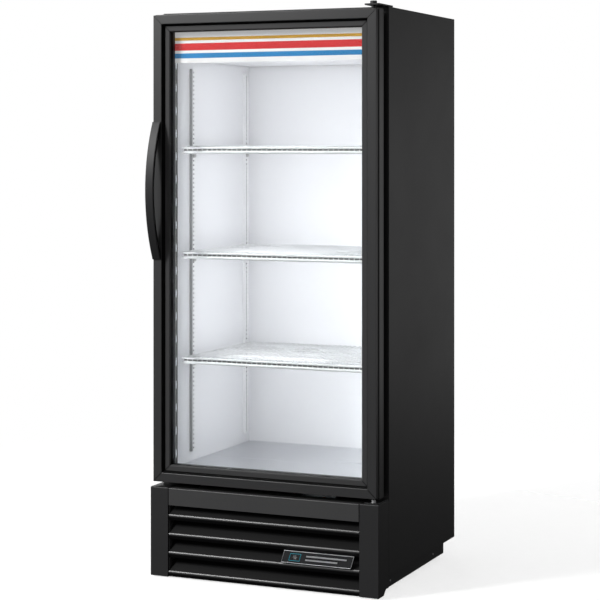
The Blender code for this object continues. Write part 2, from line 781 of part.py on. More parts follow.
def compressor_and_lines():
    x, y = COMPRESSOR
    shell = turned(
        "compressor",
        [(0, 0.0665), (0.050, 0.0665), (0.074, 0.074), (0.084, 0.092), (0.086, 0.128), (0.090, 0.131),
         (0.090, 0.136), (0.086, 0.139), (0.082, 0.178), (0.066, 0.206), (0.038, 0.222), (0, 0.226)],
        (x, y, 0),
        "Z",
        "black_steel",
        sides=32,
    )
    foot_plate = box("compressor_plate", (x - 0.105, y - 0.070, 0.0610), (x + 0.105, y + 0.070, 0.0680))
    grommets = [
        turned(
            f"compressor_grommet_{number}",
            [(0, DECK_TOP + GAP), (0.013, DECK_TOP + GAP), (0.011, 0.0640), (0, 0.0640)],
            (x + dx, y + dy, 0),
            "Z",
            sides=16,
        )
        for number, (dx, dy) in enumerate(
            ((-0.088, -0.054), (0.088, -0.054), (-0.088, 0.054), (0.088, 0.054))
        )
    ]
    terminal = box("compressor_terminal_box", (x - 0.026, y - 0.104, 0.110), (x + 0.026, y - 0.070, 0.165))
    boolean(shell, "UNION", foot_plate, *grommets, terminal)
    chase = (CHASE_X[0] + CHASE_X[1]) / 2
    tube(
        "suction_line",
        [
            (x + 0.030, y + 0.0865, 0.155),
            (x + 0.040, y + 0.115, 0.155),
            (chase, REAR_Y - 0.012, 0.215),
            (chase, REAR_Y - 0.012, 1.483),
            (chase, FRONT_Y + 0.520, 1.483),
            (0.130, FRONT_Y + 0.520, 1.483),
            (0.130, FRONT_Y + 0.4956, 1.483),
        ],
        0.0045,
        0.009,
        "copper",
    )
    tube(
        "discharge_line",
        [
            (x - 0.060, y - 0.0665, 0.155),
            (x - 0.075, y - 0.105, 0.155),
            (0.075, FRONT_Y + 0.270, 0.205),
            (0.075, FRONT_Y + 0.122, 0.205),
            (0.0605, FRONT_Y + 0.122, 0.205),
        ],
        0.0035,
        0.010,
        "copper",
    )
    turned(
        "filter_drier",
        [(0, -0.062), (0.0035, -0.062), (0.0035, -0.048), (0.0110, -0.038), (0.0110, 0.038),
         (0.0035, 0.048), (0.0035, 0.062), (0, 0.062)],
        (0.095, FRONT_Y + 0.200, 0.080),
        "Y",
        "copper",
        sides=20,
    )
    tray = box(
        "condensate_pan",
        (-0.310, FRONT_Y + 0.340, DECK_TOP + GAP),
        (-0.020, FRONT_Y + 0.560, 0.092),
        "black_plastic",
    )
    basin = box("pan_cutter", (-0.307, FRONT_Y + 0.343, DECK_TOP + 0.004), (-0.023, FRONT_Y + 0.557, 0.120))
    boolean(tray, "DIFFERENCE", basin)


def hinges():
    """The fixed halves of the door's two pivots."""
    top_plate = rectangle(ROOM_X, FRONT_Y + 0.004, SIDE_X, FRONT_Y + 0.110)
    bracket = prism("top_hinge_bracket", top_plate, "Z", HEIGHT + GAP, HEIGHT + 0.0043, "black_steel")
    knuckle = turned(
        "top_hinge_knuckle",
        [(0, 1.568), (PIN_R - 0.001, 1.568), (PIN_R, 1.569), (PIN_R, 1.580), (0.009, 1.580), (0.009, 1.5955),
         (0.0075, 1.597), (0, 1.597)],
        (HINGE_X, HINGE_Y, 0),
        "Z",
        sides=24,
    )
    boolean(bracket, "UNION", knuckle)
    shelf_plate = rectangle(ROOM_X, FRONT_Y + 0.004, 0.341, CASE_Y - GAP)
    lower = prism("bottom_hinge_bracket", shelf_plate, "Z", 0.2530, 0.2560, "black_steel")
    upright = box(
        "bottom_hinge_upright",
        (ROOM_X, CASE_Y - GAP - 0.002, 0.2540),
        (0.324, CASE_Y - GAP, 0.2635),
    )
    ball = [
        (0.0058 * math.cos(math.radians(angle)), 0.2600 + 0.0058 * math.sin(math.radians(angle)))
        for angle in range(-60, 31, 15)
    ]
    pin = turned(
        "bottom_hinge_pin",
        [
            (0, 0.2540), (0.0040, 0.2540), *ball, (PIN_R, 0.2650), (PIN_R, 0.2740),
            (PIN_R - 0.001, 0.2750), (0, 0.2750),
        ],
        (HINGE_X, HINGE_Y, 0),
        "Z",
        sides=24,
    )
    boolean(lower, "UNION", upright, pin)


def at_front(profile):
    """(u, y) points with y counted from the front of the base."""
    return [(u, FRONT_Y + y) for u, y in profile]


def door_frame():
    outer = [
        (0.0025, 0.002), (0.0275, 0.002), (0.0332, 0.0135), (0.0332, 0.052), (LIP_U, 0.052), (LIP_U, 0.060),
        (0.003, 0.060), (0.003, 0.050), (0, 0.050), (0, 0.019), (0.0025, 0.019),
    ]
    light_side = [(LIGHT_U if u == LIP_U else u, y) for u, y in outer]
    core = [
        (0.0050, 0.0045), (0.0258, 0.0045), (0.0307, 0.0143), (0.0307, 0.0575), (0.0055, 0.0575),
        (0.0055, 0.0475), (0.0025, 0.0475), (0.0025, 0.0215), (0.0050, 0.0215),
    ]
    frame = {}
    names = {"left": "left_stile", "right": "right_stile", "top": "top_rail", "bottom": "bottom_rail"}
    for edge, name in names.items():
        profile = light_side if edge == "left" else outer
        frame[edge] = member(name, at_front(profile), at_front(core), edge, "black_aluminium")
    bores = {
        edge: turned(
            f"{edge}_pin_bore_cutter",
            [
                (0, level - 0.012), (PIN_R + 0.0003, level - 0.012),
                (PIN_R + 0.0003, level + 0.012), (0, level + 0.012),
            ],
            (HINGE_X, HINGE_Y, 0),
            "Z",
            sides=24,
        )
        for edge, level in (("top", DOOR_TOP), ("bottom", DOOR_BOTTOM))
    }
    for edge, bore in bores.items():
        boolean(frame[edge], "DIFFERENCE", bore)
    return list(frame.values())


def door_glazing():
    """Double glazing, its bead and spacer, the header sign and the strip light."""
    limits = (DOOR_X, DOOR_BOTTOM, DOOR_TOP)
    bead = [(0.0335, 0.014), (0.0470, 0.014), (0.0500, 0.018), (0.0500, 0.0299), (0.0335, 0.0299)]
    spacer = [(0.0360, 0.0345), (0.0480, 0.0345), (0.0480, 0.0472), (0.0360, 0.0472)]
    pieces = [
        ring("glazing_bead", at_front(bead), *limits, "black_aluminium"),
        ring("glass_spacer", at_front(spacer), *limits, "aluminium"),
    ]
    pane_x = DOOR_X - GLASS_U
    for name, near in (("front_glass", 0.0302), ("rear_glass", 0.0475)):
        low = (-pane_x, FRONT_Y + near, DOOR_BOTTOM + GLASS_U)
        high = (pane_x, FRONT_Y + near + 0.004, DOOR_TOP - GLASS_U)
        pieces.append(box(name, low, high, "glass"))
    sign_x = DOOR_X - LIP_U - 0.0007
    sign_top = DOOR_TOP - LIP_U - 0.0007
    pieces.append(
        box("door_sign", (-sign_x, FRONT_Y + 0.0460, 1.4416), (sign_x, FRONT_Y + 0.0472, sign_top), "sign")
    )
    near, far = FRONT_Y + 0.0523, FRONT_Y + 0.0600
    outline = [
        (-DOOR_X + LIGHT_U + GAP, near),
        (-DOOR_X + LIP_U, near),
        (-DOOR_X + LIP_U, far - 0.002),
        (-DOOR_X + LIP_U - 0.002, far),
        (-DOOR_X + LIGHT_U + GAP, far),
    ]
    low, high = DOOR_BOTTOM + LIP_U + GAP, DOOR_TOP - LIP_U - GAP
    pieces.append(prism("led_light_bar", outline, "Z", low, high, "lamp"))
    return pieces


def door_gasket():
    profile = [
        (0.020, 0.0603), (0.044, 0.0603), (0.0435, 0.067), (0.041, 0.0777), (0.023, 0.0777),
        (0.0205, 0.067),
    ]
    return ring("door_gasket", at_front(profile), DOOR_X, DOOR_BOTTOM, DOOR_TOP, "black_rubber")


def arc_points(depth, reach, middle, steps):
    """(y, z) points on the circle arc that bows out by depth over a chord of twice reach, upwards."""
    radius = (reach**2 + depth**2) / (2 * depth)
    half = math.asin(reach / radius)
    points = []
    for step in range(steps + 1):
        angle = half * (2 * step / steps - 1)
        points.append((radius - depth - radius * math.cos(angle), middle + radius * math.sin(angle)))
    return points


def door_handle():
    """A bowed grip whose ends meet the door's left stile."""
    base = FRONT_Y + 0.002 - GAP
    middle = (HANDLE_LOW + HANDLE_HIGH) / 2
    reach = (HANDLE_HIGH - HANDLE_LOW) / 2
    bow = HANDLE_REACH + 0.002 - GAP - HANDLE_FOOT
    outer = [(base - HANDLE_FOOT + y, z) for y, z in arc_points(bow, reach, middle, 20)]
    inner_bow = HANDLE_REACH + 0.002 - GAP - HANDLE_THICK
    inner_reach = reach - 0.019
    inner = [(base + y, z) for y, z in arc_points(inner_bow, inner_reach, middle, 18)]
    outline = [(base, HANDLE_LOW), *outer, (base, HANDLE_HIGH), *reversed(inner)]
    return prism("door_handle", outline, "X", *HANDLE_X, "black_plastic")


def door():
    pieces = [*door_frame(), *door_glazing(), door_gasket(), door_handle()]
    pivot("door_pivot", (HINGE_X, HINGE_Y, DOOR_BOTTOM), pieces)


clear_scene()
insulated_case()
outer_panels()
rear_louver_panel()
pilasters()
shelves()
evaporator()
controls()
base_frame()
levelling_feet()
corner_caps()
front_grille()
nameplate()
condenser()
compressor_and_lines()
hinges()
door()
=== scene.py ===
import json
import math

import bmesh
import bpy
import numpy as np
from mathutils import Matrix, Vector

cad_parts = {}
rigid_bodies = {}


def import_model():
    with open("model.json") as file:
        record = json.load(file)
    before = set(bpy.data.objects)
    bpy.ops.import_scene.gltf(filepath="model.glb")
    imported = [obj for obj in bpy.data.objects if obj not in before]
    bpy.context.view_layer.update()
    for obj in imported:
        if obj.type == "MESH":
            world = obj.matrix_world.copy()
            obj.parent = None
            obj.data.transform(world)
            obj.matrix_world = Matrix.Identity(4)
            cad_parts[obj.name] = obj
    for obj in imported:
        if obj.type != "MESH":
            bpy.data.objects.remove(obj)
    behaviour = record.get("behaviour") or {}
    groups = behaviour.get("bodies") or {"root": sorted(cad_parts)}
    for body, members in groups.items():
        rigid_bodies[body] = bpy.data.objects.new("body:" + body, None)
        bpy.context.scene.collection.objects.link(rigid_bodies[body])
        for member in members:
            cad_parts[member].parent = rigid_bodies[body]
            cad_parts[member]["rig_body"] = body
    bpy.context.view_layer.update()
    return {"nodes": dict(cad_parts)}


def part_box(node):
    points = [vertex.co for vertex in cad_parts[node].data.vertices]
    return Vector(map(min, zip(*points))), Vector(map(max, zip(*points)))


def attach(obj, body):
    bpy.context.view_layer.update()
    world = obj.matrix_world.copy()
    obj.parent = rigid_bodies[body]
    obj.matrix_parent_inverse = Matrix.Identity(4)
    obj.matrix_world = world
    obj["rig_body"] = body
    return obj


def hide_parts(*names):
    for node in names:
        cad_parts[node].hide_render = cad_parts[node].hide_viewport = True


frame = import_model()
print("frame loaded:", len(frame["nodes"]), "CAD nodes")


def boxOf(node):
    low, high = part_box(node)
    return np.array(low), np.array(high)


# Driving places, read from the frame
frontY = boxOf("left_corner_cap")[0][1]
doorX = boxOf("right_stile")[1][0]
doorBottom, doorTop = boxOf("bottom_rail")[0][2], boxOf("top_rail")[1][2]
sideX = boxOf("right_side_panel")[1][0]
rearY = boxOf("rear_panel")[1][1]
caseTop = boxOf("top_panel")[1][2]
hair = 0.0003  # clearance between pieces that touch


# ---- surfaces ----


def rounded(outline, radius, steps=4):
    # Corner p becomes a(1-t)^2 + 2p t(1-t) + b t^2, where a and b lie one radius back along its two edges.
    points = np.asarray(outline, float)
    reach = np.broadcast_to(np.asarray(radius, float), len(points))[:, None]
    before, after = np.roll(points, 1, 0) - points, np.roll(points, -1, 0) - points
    start = points + before / np.linalg.norm(before, axis=1, keepdims=True) * reach
    end = points + after / np.linalg.norm(after, axis=1, keepdims=True) * reach
    t = np.linspace(0, 1, steps + 1)[None, :, None]
    curve = start[:, None] * (1 - t) ** 2 + 2 * points[:, None] * t * (1 - t) + end[:, None] * t**2
    return curve[(reach > 0) | (np.arange(steps + 1) == 0)]


def rectangle(a0, b0, a1, b1):
    return np.array([(a0, b0), (a1, b0), (a1, b1), (a0, b1)])


def toAxes(a, b, along, axis):
    # Two coordinates across the axis and one along it, in X, Y, Z order.
    a, b, along = np.broadcast_arrays(a, b, along)
    return np.stack({"X": (along, a, b), "Y": (a, along, b), "Z": (a, b, along)}[axis], -1)


def gridFaces(rows, columns, wrapRows=False, wrapColumns=True):
    # Four-sided faces between neighbours of a grid whose points are numbered row by row.
    r = np.arange(rows if wrapRows else rows - 1)[:, None]
    c = np.arange(columns if wrapColumns else columns - 1)[None, :]
    up, over = (r + 1) % rows, (c + 1) % columns
    corners = (r * columns + c, r * columns + over, up * columns + over, up * columns + c)
    return np.stack(corners, -1).reshape(-1, 4)


def loft(sections, closed=False):
    # Closed sections joined each to the next, with a flat face on both ends unless the row of sections is a loop.
    sections = np.asarray(sections, float)
    rows, columns = sections.shape[:2]
    faces = gridFaces(rows, columns, wrapRows=closed).tolist()
    if not closed:
        faces += [list(range(columns))[::-1], list(range((rows - 1) * columns, rows * columns))]
    return sections.reshape(-1, 3), faces


def extruded(outline, axis, low, high):
    # The outline (a, b) repeated at both ends of its run along the axis.
    a, b = np.asarray(outline, float).T
    return loft([toAxes(a, b, low, axis), toAxes(a, b, high, axis)])


def lathe(profile, centre, axis, sides=32, closed=False):
    # Profile point (r, h) at angle t goes to (r cos t, r sin t) across the axis and h along it.
    radius, height = np.asarray(profile, float).T[:, :, None]
    angle = np.linspace(0, 2 * np.pi, sides, endpoint=False)
    rings = toAxes(radius * np.cos(angle), radius * np.sin(angle), height, axis)
    return loft(rings + np.asarray(centre), closed)


def rods(starts, ends, radius, sides=10):
    # Round bars with half-ball tips: at angle p round the tip the ring is r(1 - cos p) in from the end, r sin p wide.
    starts, ends = np.atleast_2d(starts).astype(float), np.atleast_2d(ends).astype(float)
    length = np.linalg.norm(ends - starts, axis=1)[:, None]
    run = (ends - starts) / length
    across = np.cross(run, (0, 1, 0) if abs(run[0, 2]) > 0.9 else (0, 0, 1))
    across /= np.linalg.norm(across, axis=1, keepdims=True)
    other = np.cross(run, across)
    tip = np.radians((0, 35, 65, 90))
    inset = np.concatenate([radius * (1 - np.cos(tip)), radius * (np.cos(tip[::-1]) - 1)])
    distance = inset[None, :] + np.concatenate([np.zeros(4), np.ones(4)]) * length
    wide = radius * np.sin(np.concatenate([tip, tip[::-1]]))[:, None]
    angle = np.linspace(0, 2 * np.pi, sides, endpoint=False)
    ring = (
        across[:, None, None] * (wide * np.cos(angle))[None, :, :, None]
        + other[:, None, None] * (wide * np.sin(angle))[None, :, :, None]
    )
    points = starts[:, None, None] + run[:, None, None] * distance[:, :, None, None] + ring
    one = gridFaces(8, sides)
    faces = one[None] + (np.arange(len(starts)) * 8 * sides)[:, None, None]
    return points.reshape(-1, 3), faces.reshape(-1, 4).tolist()


def bentRod(path, radius, sides=10):
    # A rod in a plane of constant X: each ring lies across the path's own direction, (dy, dz) turned a quarter.
    path = np.asarray(path, float)
    run = np.gradient(path, axis=0)
    run /= np.linalg.norm(run, axis=1, keepdims=True)
    angle = np.linspace(0, 2 * np.pi, sides, endpoint=False)[None, :]
    x = radius * np.sin(angle) + 0 * path[:, :1]
    y = path[:, :1] - run[:, 1:] * radius * np.cos(angle)
    z = path[:, 1:] + run[:, :1] * radius * np.cos(angle)
    return loft(np.stack([x, y, z], -1))


def mitredBar(profile, edge, gap):
    # Point (u, y) keeps u inside the door's edge, and the half length is the door's half size less u, which cuts both
    # ends at 45 degrees.
    u, y = np.asarray(profile, float).T
    middle, halfHeight = (doorBottom + doorTop) / 2, (doorTop - doorBottom) / 2
    side = -1 if edge in ("left", "bottom") else 1
    if edge in ("left", "right"):
        half = halfHeight - u - gap
        ends = [np.stack([side * (doorX - u), y, middle + way * half], -1) for way in (-1, 1)]
    else:
        half = doorX - u - gap
        ends = [np.stack([way * half, y, middle + side * (halfHeight - u)], -1) for way in (-1, 1)]
    return loft(ends)


def aroundDoor(profile):
    # The section (u, y) carried round the door's four corners and back to the first.
    u, y = np.asarray(profile, float).T
    corners = ((-1, doorBottom, 1), (1, doorBottom, 1), (1, doorTop, -1), (-1, doorTop, -1))
    return loft([np.stack([s * (doorX - u), y, level + up * u], -1) for s, level, up in corners], True)


def together(*shapes):
    # Several shapes as one, with each later shape's face numbers moved on by the points before it.
    starts = np.cumsum([0] + [len(points) for points, _ in shapes[:-1]])
    faces = [[i + int(start) for i in face] for (_, own), start in zip(shapes, starts) for face in own]
    return np.concatenate([points for points, _ in shapes]), faces


def repeated(shape, offsets):
    # The shape's points plus each offset in turn.
    points, faces = shape
    offsets = np.atleast_2d(np.asarray(offsets, float))
    moved = (points[None] + offsets[:, None]).reshape(-1, 3)
    return moved, [[i + k * len(points) for i in face] for k in range(len(offsets)) for face in faces]


def turnedAbout(shape, centre, axis, angles):
    # The shape turned by each angle about a line through the centre, by the plane rotation of its two other
    # coordinates.
    points, faces = shape
    first, second = {"X": (1, 2), "Y": (2, 0), "Z": (0, 1)}[axis]
    local = points - np.asarray(centre)
    angle = np.asarray(angles, float)[:, None]
    turned = np.repeat(local[None], len(angle), 0)
    turned[..., first] = local[:, first] * np.cos(angle) - local[:, second] * np.sin(angle)
    turned[..., second] = local[:, first] * np.sin(angle) + local[:, second] * np.cos(angle)
    moved = (turned + np.asarray(centre)).reshape(-1, 3)
    return moved, [[i + k * len(points) for i in face] for k in range(len(angle)) for face in faces]


def screwHead(radius=0.0042, rise=0.0020, sides=16):
    # A pan head facing -Y: a dome of height rise(1 - (r/R)^3), sunk where a cross-shaped recess lies near its middle.
    share = np.array([0, 0.16, 0.3, 0.46, 0.62, 0.8, 0.93, 1.0])[:, None]
    angle = np.linspace(0, 2 * np.pi, sides, endpoint=False)[None, :]
    x, z = radius * share * np.cos(angle), radius * share * np.sin(angle)
    arm = np.minimum(abs(x), abs(z)) < 0.0006
    recess = np.where(arm & (share < 0.6), 0.55, 0)
    dome = np.stack([x, -rise * (1 - share**3) * (1 - recess) - 0.0003 + 0 * x, z], -1)
    base = np.stack([x[-1:], 0 * x[-1:] + 0.0002, z[-1:]], -1)
    return loft(np.concatenate([dome, base]))


def smoothShade(mesh, angle):
    mesh.polygons.foreach_set("use_smooth", np.ones(len(mesh.polygons), bool))
    mesh.set_sharp_from_angle(angle=math.radians(angle))


def dress(piece, body, finishes, nodes, soften, segments):
    for name in [finishes] if isinstance(finishes, str) else finishes:
        piece.data.materials.append(finish[name])
    bpy.context.scene.collection.objects.link(piece)
    if soften:
        bevel = piece.modifiers.new("softEdges", "BEVEL")
        bevel.width, bevel.segments = soften, segments
        bevel.limit_method, bevel.angle_limit = "ANGLE", math.radians(28)
        bevel.miter_outer = "MITER_ARC"
    weigh = piece.modifiers.new("evenShading", "WEIGHTED_NORMAL")
    weigh.keep_sharp = True
    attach(piece, body)
    if nodes:
        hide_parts(*nodes)
    return piece


def closedMesh(name, shape, picks=None):
    # A mesh of the shape with doubled points joined and every face turned outwards.
    points, faces = shape
    mesh = bpy.data.meshes.new(name)
    mesh.from_pydata(np.asarray(points, float).tolist(), [], faces)
    if picks is not None:
        mesh.polygons.foreach_set("material_index", np.asarray(picks, np.int32))
    work = bmesh.new()
    work.from_mesh(mesh)
    bmesh.ops.remove_doubles(work, verts=work.verts, dist=1e-6)
    bmesh.ops.recalc_face_normals(work, faces=work.faces)
    work.to_mesh(mesh)
    work.free()
    return mesh


def addPiece(name, shape, finishes, nodes=(), body="cabinet", soften=0, segments=2, sharp=32, picks=None):
    mesh = closedMesh(name, shape, picks)
    smoothShade(mesh, sharp)
    return dress(bpy.data.objects.new(name, mesh), body, finishes, nodes, soften, segments)


def softened(node, name, finishName, soften, segments=2):
    # A copy of the CAD solid, its loose triangles joined and its flat ones merged, with its edges rounded.
    mesh = frame["nodes"][node].data.copy()
    mesh.name = name
    mesh.materials.clear()
    work = bmesh.new()
    work.from_mesh(mesh)
    bmesh.ops.remove_doubles(work, verts=work.verts, dist=1e-5)
    bmesh.ops.dissolve_limit(work, angle_limit=math.radians(1), verts=work.verts, edges=work.edges)
    work.to_mesh(mesh)
    work.free()
    if "custom_normal" in mesh.attributes:
        mesh.attributes.remove(mesh.attributes["custom_normal"])
    smoothShade(mesh, 32)
    body = frame["nodes"][node]["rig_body"]
    return dress(bpy.data.objects.new(name, mesh), body, finishName, [node], soften, segments)


# ---- shared effects ----


def newGroup(name, inputs, outputs):
    group = bpy.data.node_groups.new(name, "ShaderNodeTree")
    for label, kind, value in inputs:
        socket = group.interface.new_socket(name=label, in_out="INPUT", socket_type="NodeSocket" + kind)
        if value is not None:
            socket.default_value = value
    for label, kind in outputs:
        group.interface.new_socket(name=label, in_out="OUTPUT", socket_type="NodeSocket" + kind)
    return group, group.nodes.new("NodeGroupInput"), group.nodes.new("NodeGroupOutput")


def mathNode(tree, operation, *values):
    node = tree.nodes.new("ShaderNodeMath")
    node.operation = operation
    for socket, value in zip(node.inputs, values):
        if isinstance(value, bpy.types.NodeSocket):
            tree.links.new(value, socket)
        else:
            socket.default_value = value
    return node.outputs[0]


def noiseNode(tree, vector, scale, detail, roughness=0.5):
    node = tree.nodes.new("ShaderNodeTexNoise")
    node.inputs["Detail"].default_value = detail
    node.inputs["Roughness"].default_value = roughness
    tree.links.new(vector, node.inputs["Vector"])
    if isinstance(scale, bpy.types.NodeSocket):
        tree.links.new(scale, node.inputs["Scale"])
    else:
        node.inputs["Scale"].default_value = scale
    return node.outputs["Fac"]


# Fine grain and slow clouding of a finish, both from 0 to 1 about a half
grainGroup, groupIn, groupOut = newGroup(
    "surfaceGrain",
    [("Vector", "Vector", None), ("Grain Scale", "Float", 900.0), ("Cloud Scale", "Float", 5.0)],
    [("Grain", "Float"), ("Cloud", "Float")],
)
fine = noiseNode(grainGroup, groupIn.outputs["Vector"], groupIn.outputs["Grain Scale"], 2.0)
slow = noiseNode(grainGroup, groupIn.outputs["Vector"], groupIn.outputs["Cloud Scale"], 4.0, 0.6)
grainGroup.links.new(fine, groupOut.inputs["Grain"])
grainGroup.links.new(slow, groupOut.inputs["Cloud"])

# Colour times 1 + (cloud - 1/2) spread + (grain - 1/2) speckle, and roughness plus (cloud - 1/2) spread
toneGroup, groupIn, groupOut = newGroup(
    "finishTone",
    [
        ("Colour", "Color", (0.5, 0.5, 0.5, 1)), ("Roughness", "Float", 0.5), ("Grain", "Float", 0.5),
        ("Cloud", "Float", 0.5), ("Colour Spread", "Float", 0.1), ("Speckle", "Float", 0.1),
        ("Roughness Spread", "Float", 0.1),
    ],
    [("Colour", "Color"), ("Roughness", "Float")],
)
cloudOff = mathNode(toneGroup, "SUBTRACT", groupIn.outputs["Cloud"], 0.5)
grainOff = mathNode(toneGroup, "SUBTRACT", groupIn.outputs["Grain"], 0.5)
tone = mathNode(toneGroup, "MULTIPLY_ADD", cloudOff, groupIn.outputs["Colour Spread"], 1.0)
tone = mathNode(toneGroup, "MULTIPLY_ADD", grainOff, groupIn.outputs["Speckle"], tone)
scaled = toneGroup.nodes.new("ShaderNodeVectorMath")
scaled.operation = "SCALE"
toneGroup.links.new(groupIn.outputs["Colour"], scaled.inputs[0])
toneGroup.links.new(tone, scaled.inputs["Scale"])
toneGroup.links.new(scaled.outputs[0], groupOut.inputs["Colour"])
rough = mathNode(toneGroup, "MULTIPLY_ADD", cloudOff, groupIn.outputs["Roughness Spread"], groupIn.outputs["Roughness"])
toneGroup.links.new(rough, groupOut.inputs["Roughness"])


# Shade of the door's mitres: dark near the plane where the distance in from the side equals that from the nearer end
mitreGroup, groupIn, groupOut = newGroup("mitreShade", [("Vector", "Vector", None)], [("Shade", "Float")])
parts = mitreGroup.nodes.new("ShaderNodeSeparateXYZ")
mitreGroup.links.new(groupIn.outputs["Vector"], parts.inputs[0])
inFromSide = mathNode(mitreGroup, "SUBTRACT", doorX, mathNode(mitreGroup, "ABSOLUTE", parts.outputs["X"]))
fromMiddle = mathNode(mitreGroup, "SUBTRACT", parts.outputs["Z"], (doorBottom + doorTop) / 2)
inFromEnd = mathNode(mitreGroup, "SUBTRACT", (doorTop - doorBottom) / 2, mathNode(mitreGroup, "ABSOLUTE", fromMiddle))
apart = mathNode(mitreGroup, "ABSOLUTE", mathNode(mitreGroup, "SUBTRACT", inFromSide, inFromEnd))
shade = mitreGroup.nodes.new("ShaderNodeMapRange")
shade.interpolation_type = "SMOOTHSTEP"
shade.inputs["From Min"].default_value, shade.inputs["From Max"].default_value = 0.0010, 0.0026
shade.inputs["To Min"].default_value, shade.inputs["To Max"].default_value = 0.12, 1.0
mitreGroup.links.new(apart, shade.inputs["Value"])
mitreGroup.links.new(shade.outputs[0], groupOut.inputs["Shade"])


def newMaterial(name):
    material = bpy.data.materials.new(name)
    material.use_nodes = True
    tree = material.node_tree
    shader = next(node for node in tree.nodes if node.type == "BSDF_PRINCIPLED")
    place = tree.nodes.new("ShaderNodeTexCoord").outputs["Object"]
    return material, tree, shader, place


def addTone(tree, place, user):
    # Grain and cloud at the place, and the finish's roughness and colour moved by them; the caller gives the colour.
    grain, toned = (tree.nodes.new("ShaderNodeGroup") for _ in range(2))
    grain.node_tree, toned.node_tree = grainGroup, toneGroup
    tree.links.new(place, grain.inputs["Vector"])
    grain.inputs["Grain Scale"].default_value = user.get("grainScale", 900)
    grain.inputs["Cloud Scale"].default_value = user.get("cloudScale", 4)
    tree.links.new(grain.outputs["Grain"], toned.inputs["Grain"])
    tree.links.new(grain.outputs["Cloud"], toned.inputs["Cloud"])
    toned.inputs["Roughness"].default_value = user["roughness"]
    toned.inputs["Colour Spread"].default_value = user.get("colourSpread", 0.12)
    toned.inputs["Speckle"].default_value = user.get("speckle", 0.15)
    toned.inputs["Roughness Spread"].default_value = user.get("roughSpread", 0.10)
    return grain.outputs["Grain"], toned


def makeFinish(name, user):
    # A painted, moulded or metal finish: grain and cloud move its colour and roughness, and the grain its height.
    material, tree, shader, place = newMaterial(name)
    if "stretch" in user:  # brushing or ribs run the long way of the stretch
        mapping = tree.nodes.new("ShaderNodeMapping")
        mapping.inputs["Scale"].default_value = user["stretch"]
        tree.links.new(place, mapping.inputs["Vector"])
        place = mapping.outputs[0]
    grain, toned = addTone(tree, place, user)
    toned.inputs["Colour"].default_value = (*user["colour"], 1)
    colour = toned.outputs["Colour"]
    if user.get("mitre"):
        joint, shade = tree.nodes.new("ShaderNodeGroup"), tree.nodes.new("ShaderNodeVectorMath")
        joint.node_tree, shade.operation = mitreGroup, "SCALE"
        tree.links.new(place, joint.inputs["Vector"])
        tree.links.new(colour, shade.inputs[0])
        tree.links.new(joint.outputs["Shade"], shade.inputs["Scale"])
        colour = shade.outputs[0]
    tree.links.new(colour, shader.inputs["Base Color"])
    tree.links.new(toned.outputs["Roughness"], shader.inputs["Roughness"])
    shader.inputs["Metallic"].default_value = user.get("metallic", 0)
    shader.inputs["Specular IOR Level"].default_value = user.get("specular", 0.5)
    shader.inputs["Coat Weight"].default_value = user.get("coat", 0)
    shader.inputs["Coat Roughness"].default_value = 0.12
    bump = tree.nodes.new("ShaderNodeBump")
    bump.inputs["Strength"].default_value = user.get("relief", 0.25)
    bump.inputs["Distance"].default_value = user.get("reliefHeight", 0.0002)
    tree.links.new(grain, bump.inputs["Height"])
    tree.links.new(bump.outputs[0], shader.inputs["Normal"])
    return material


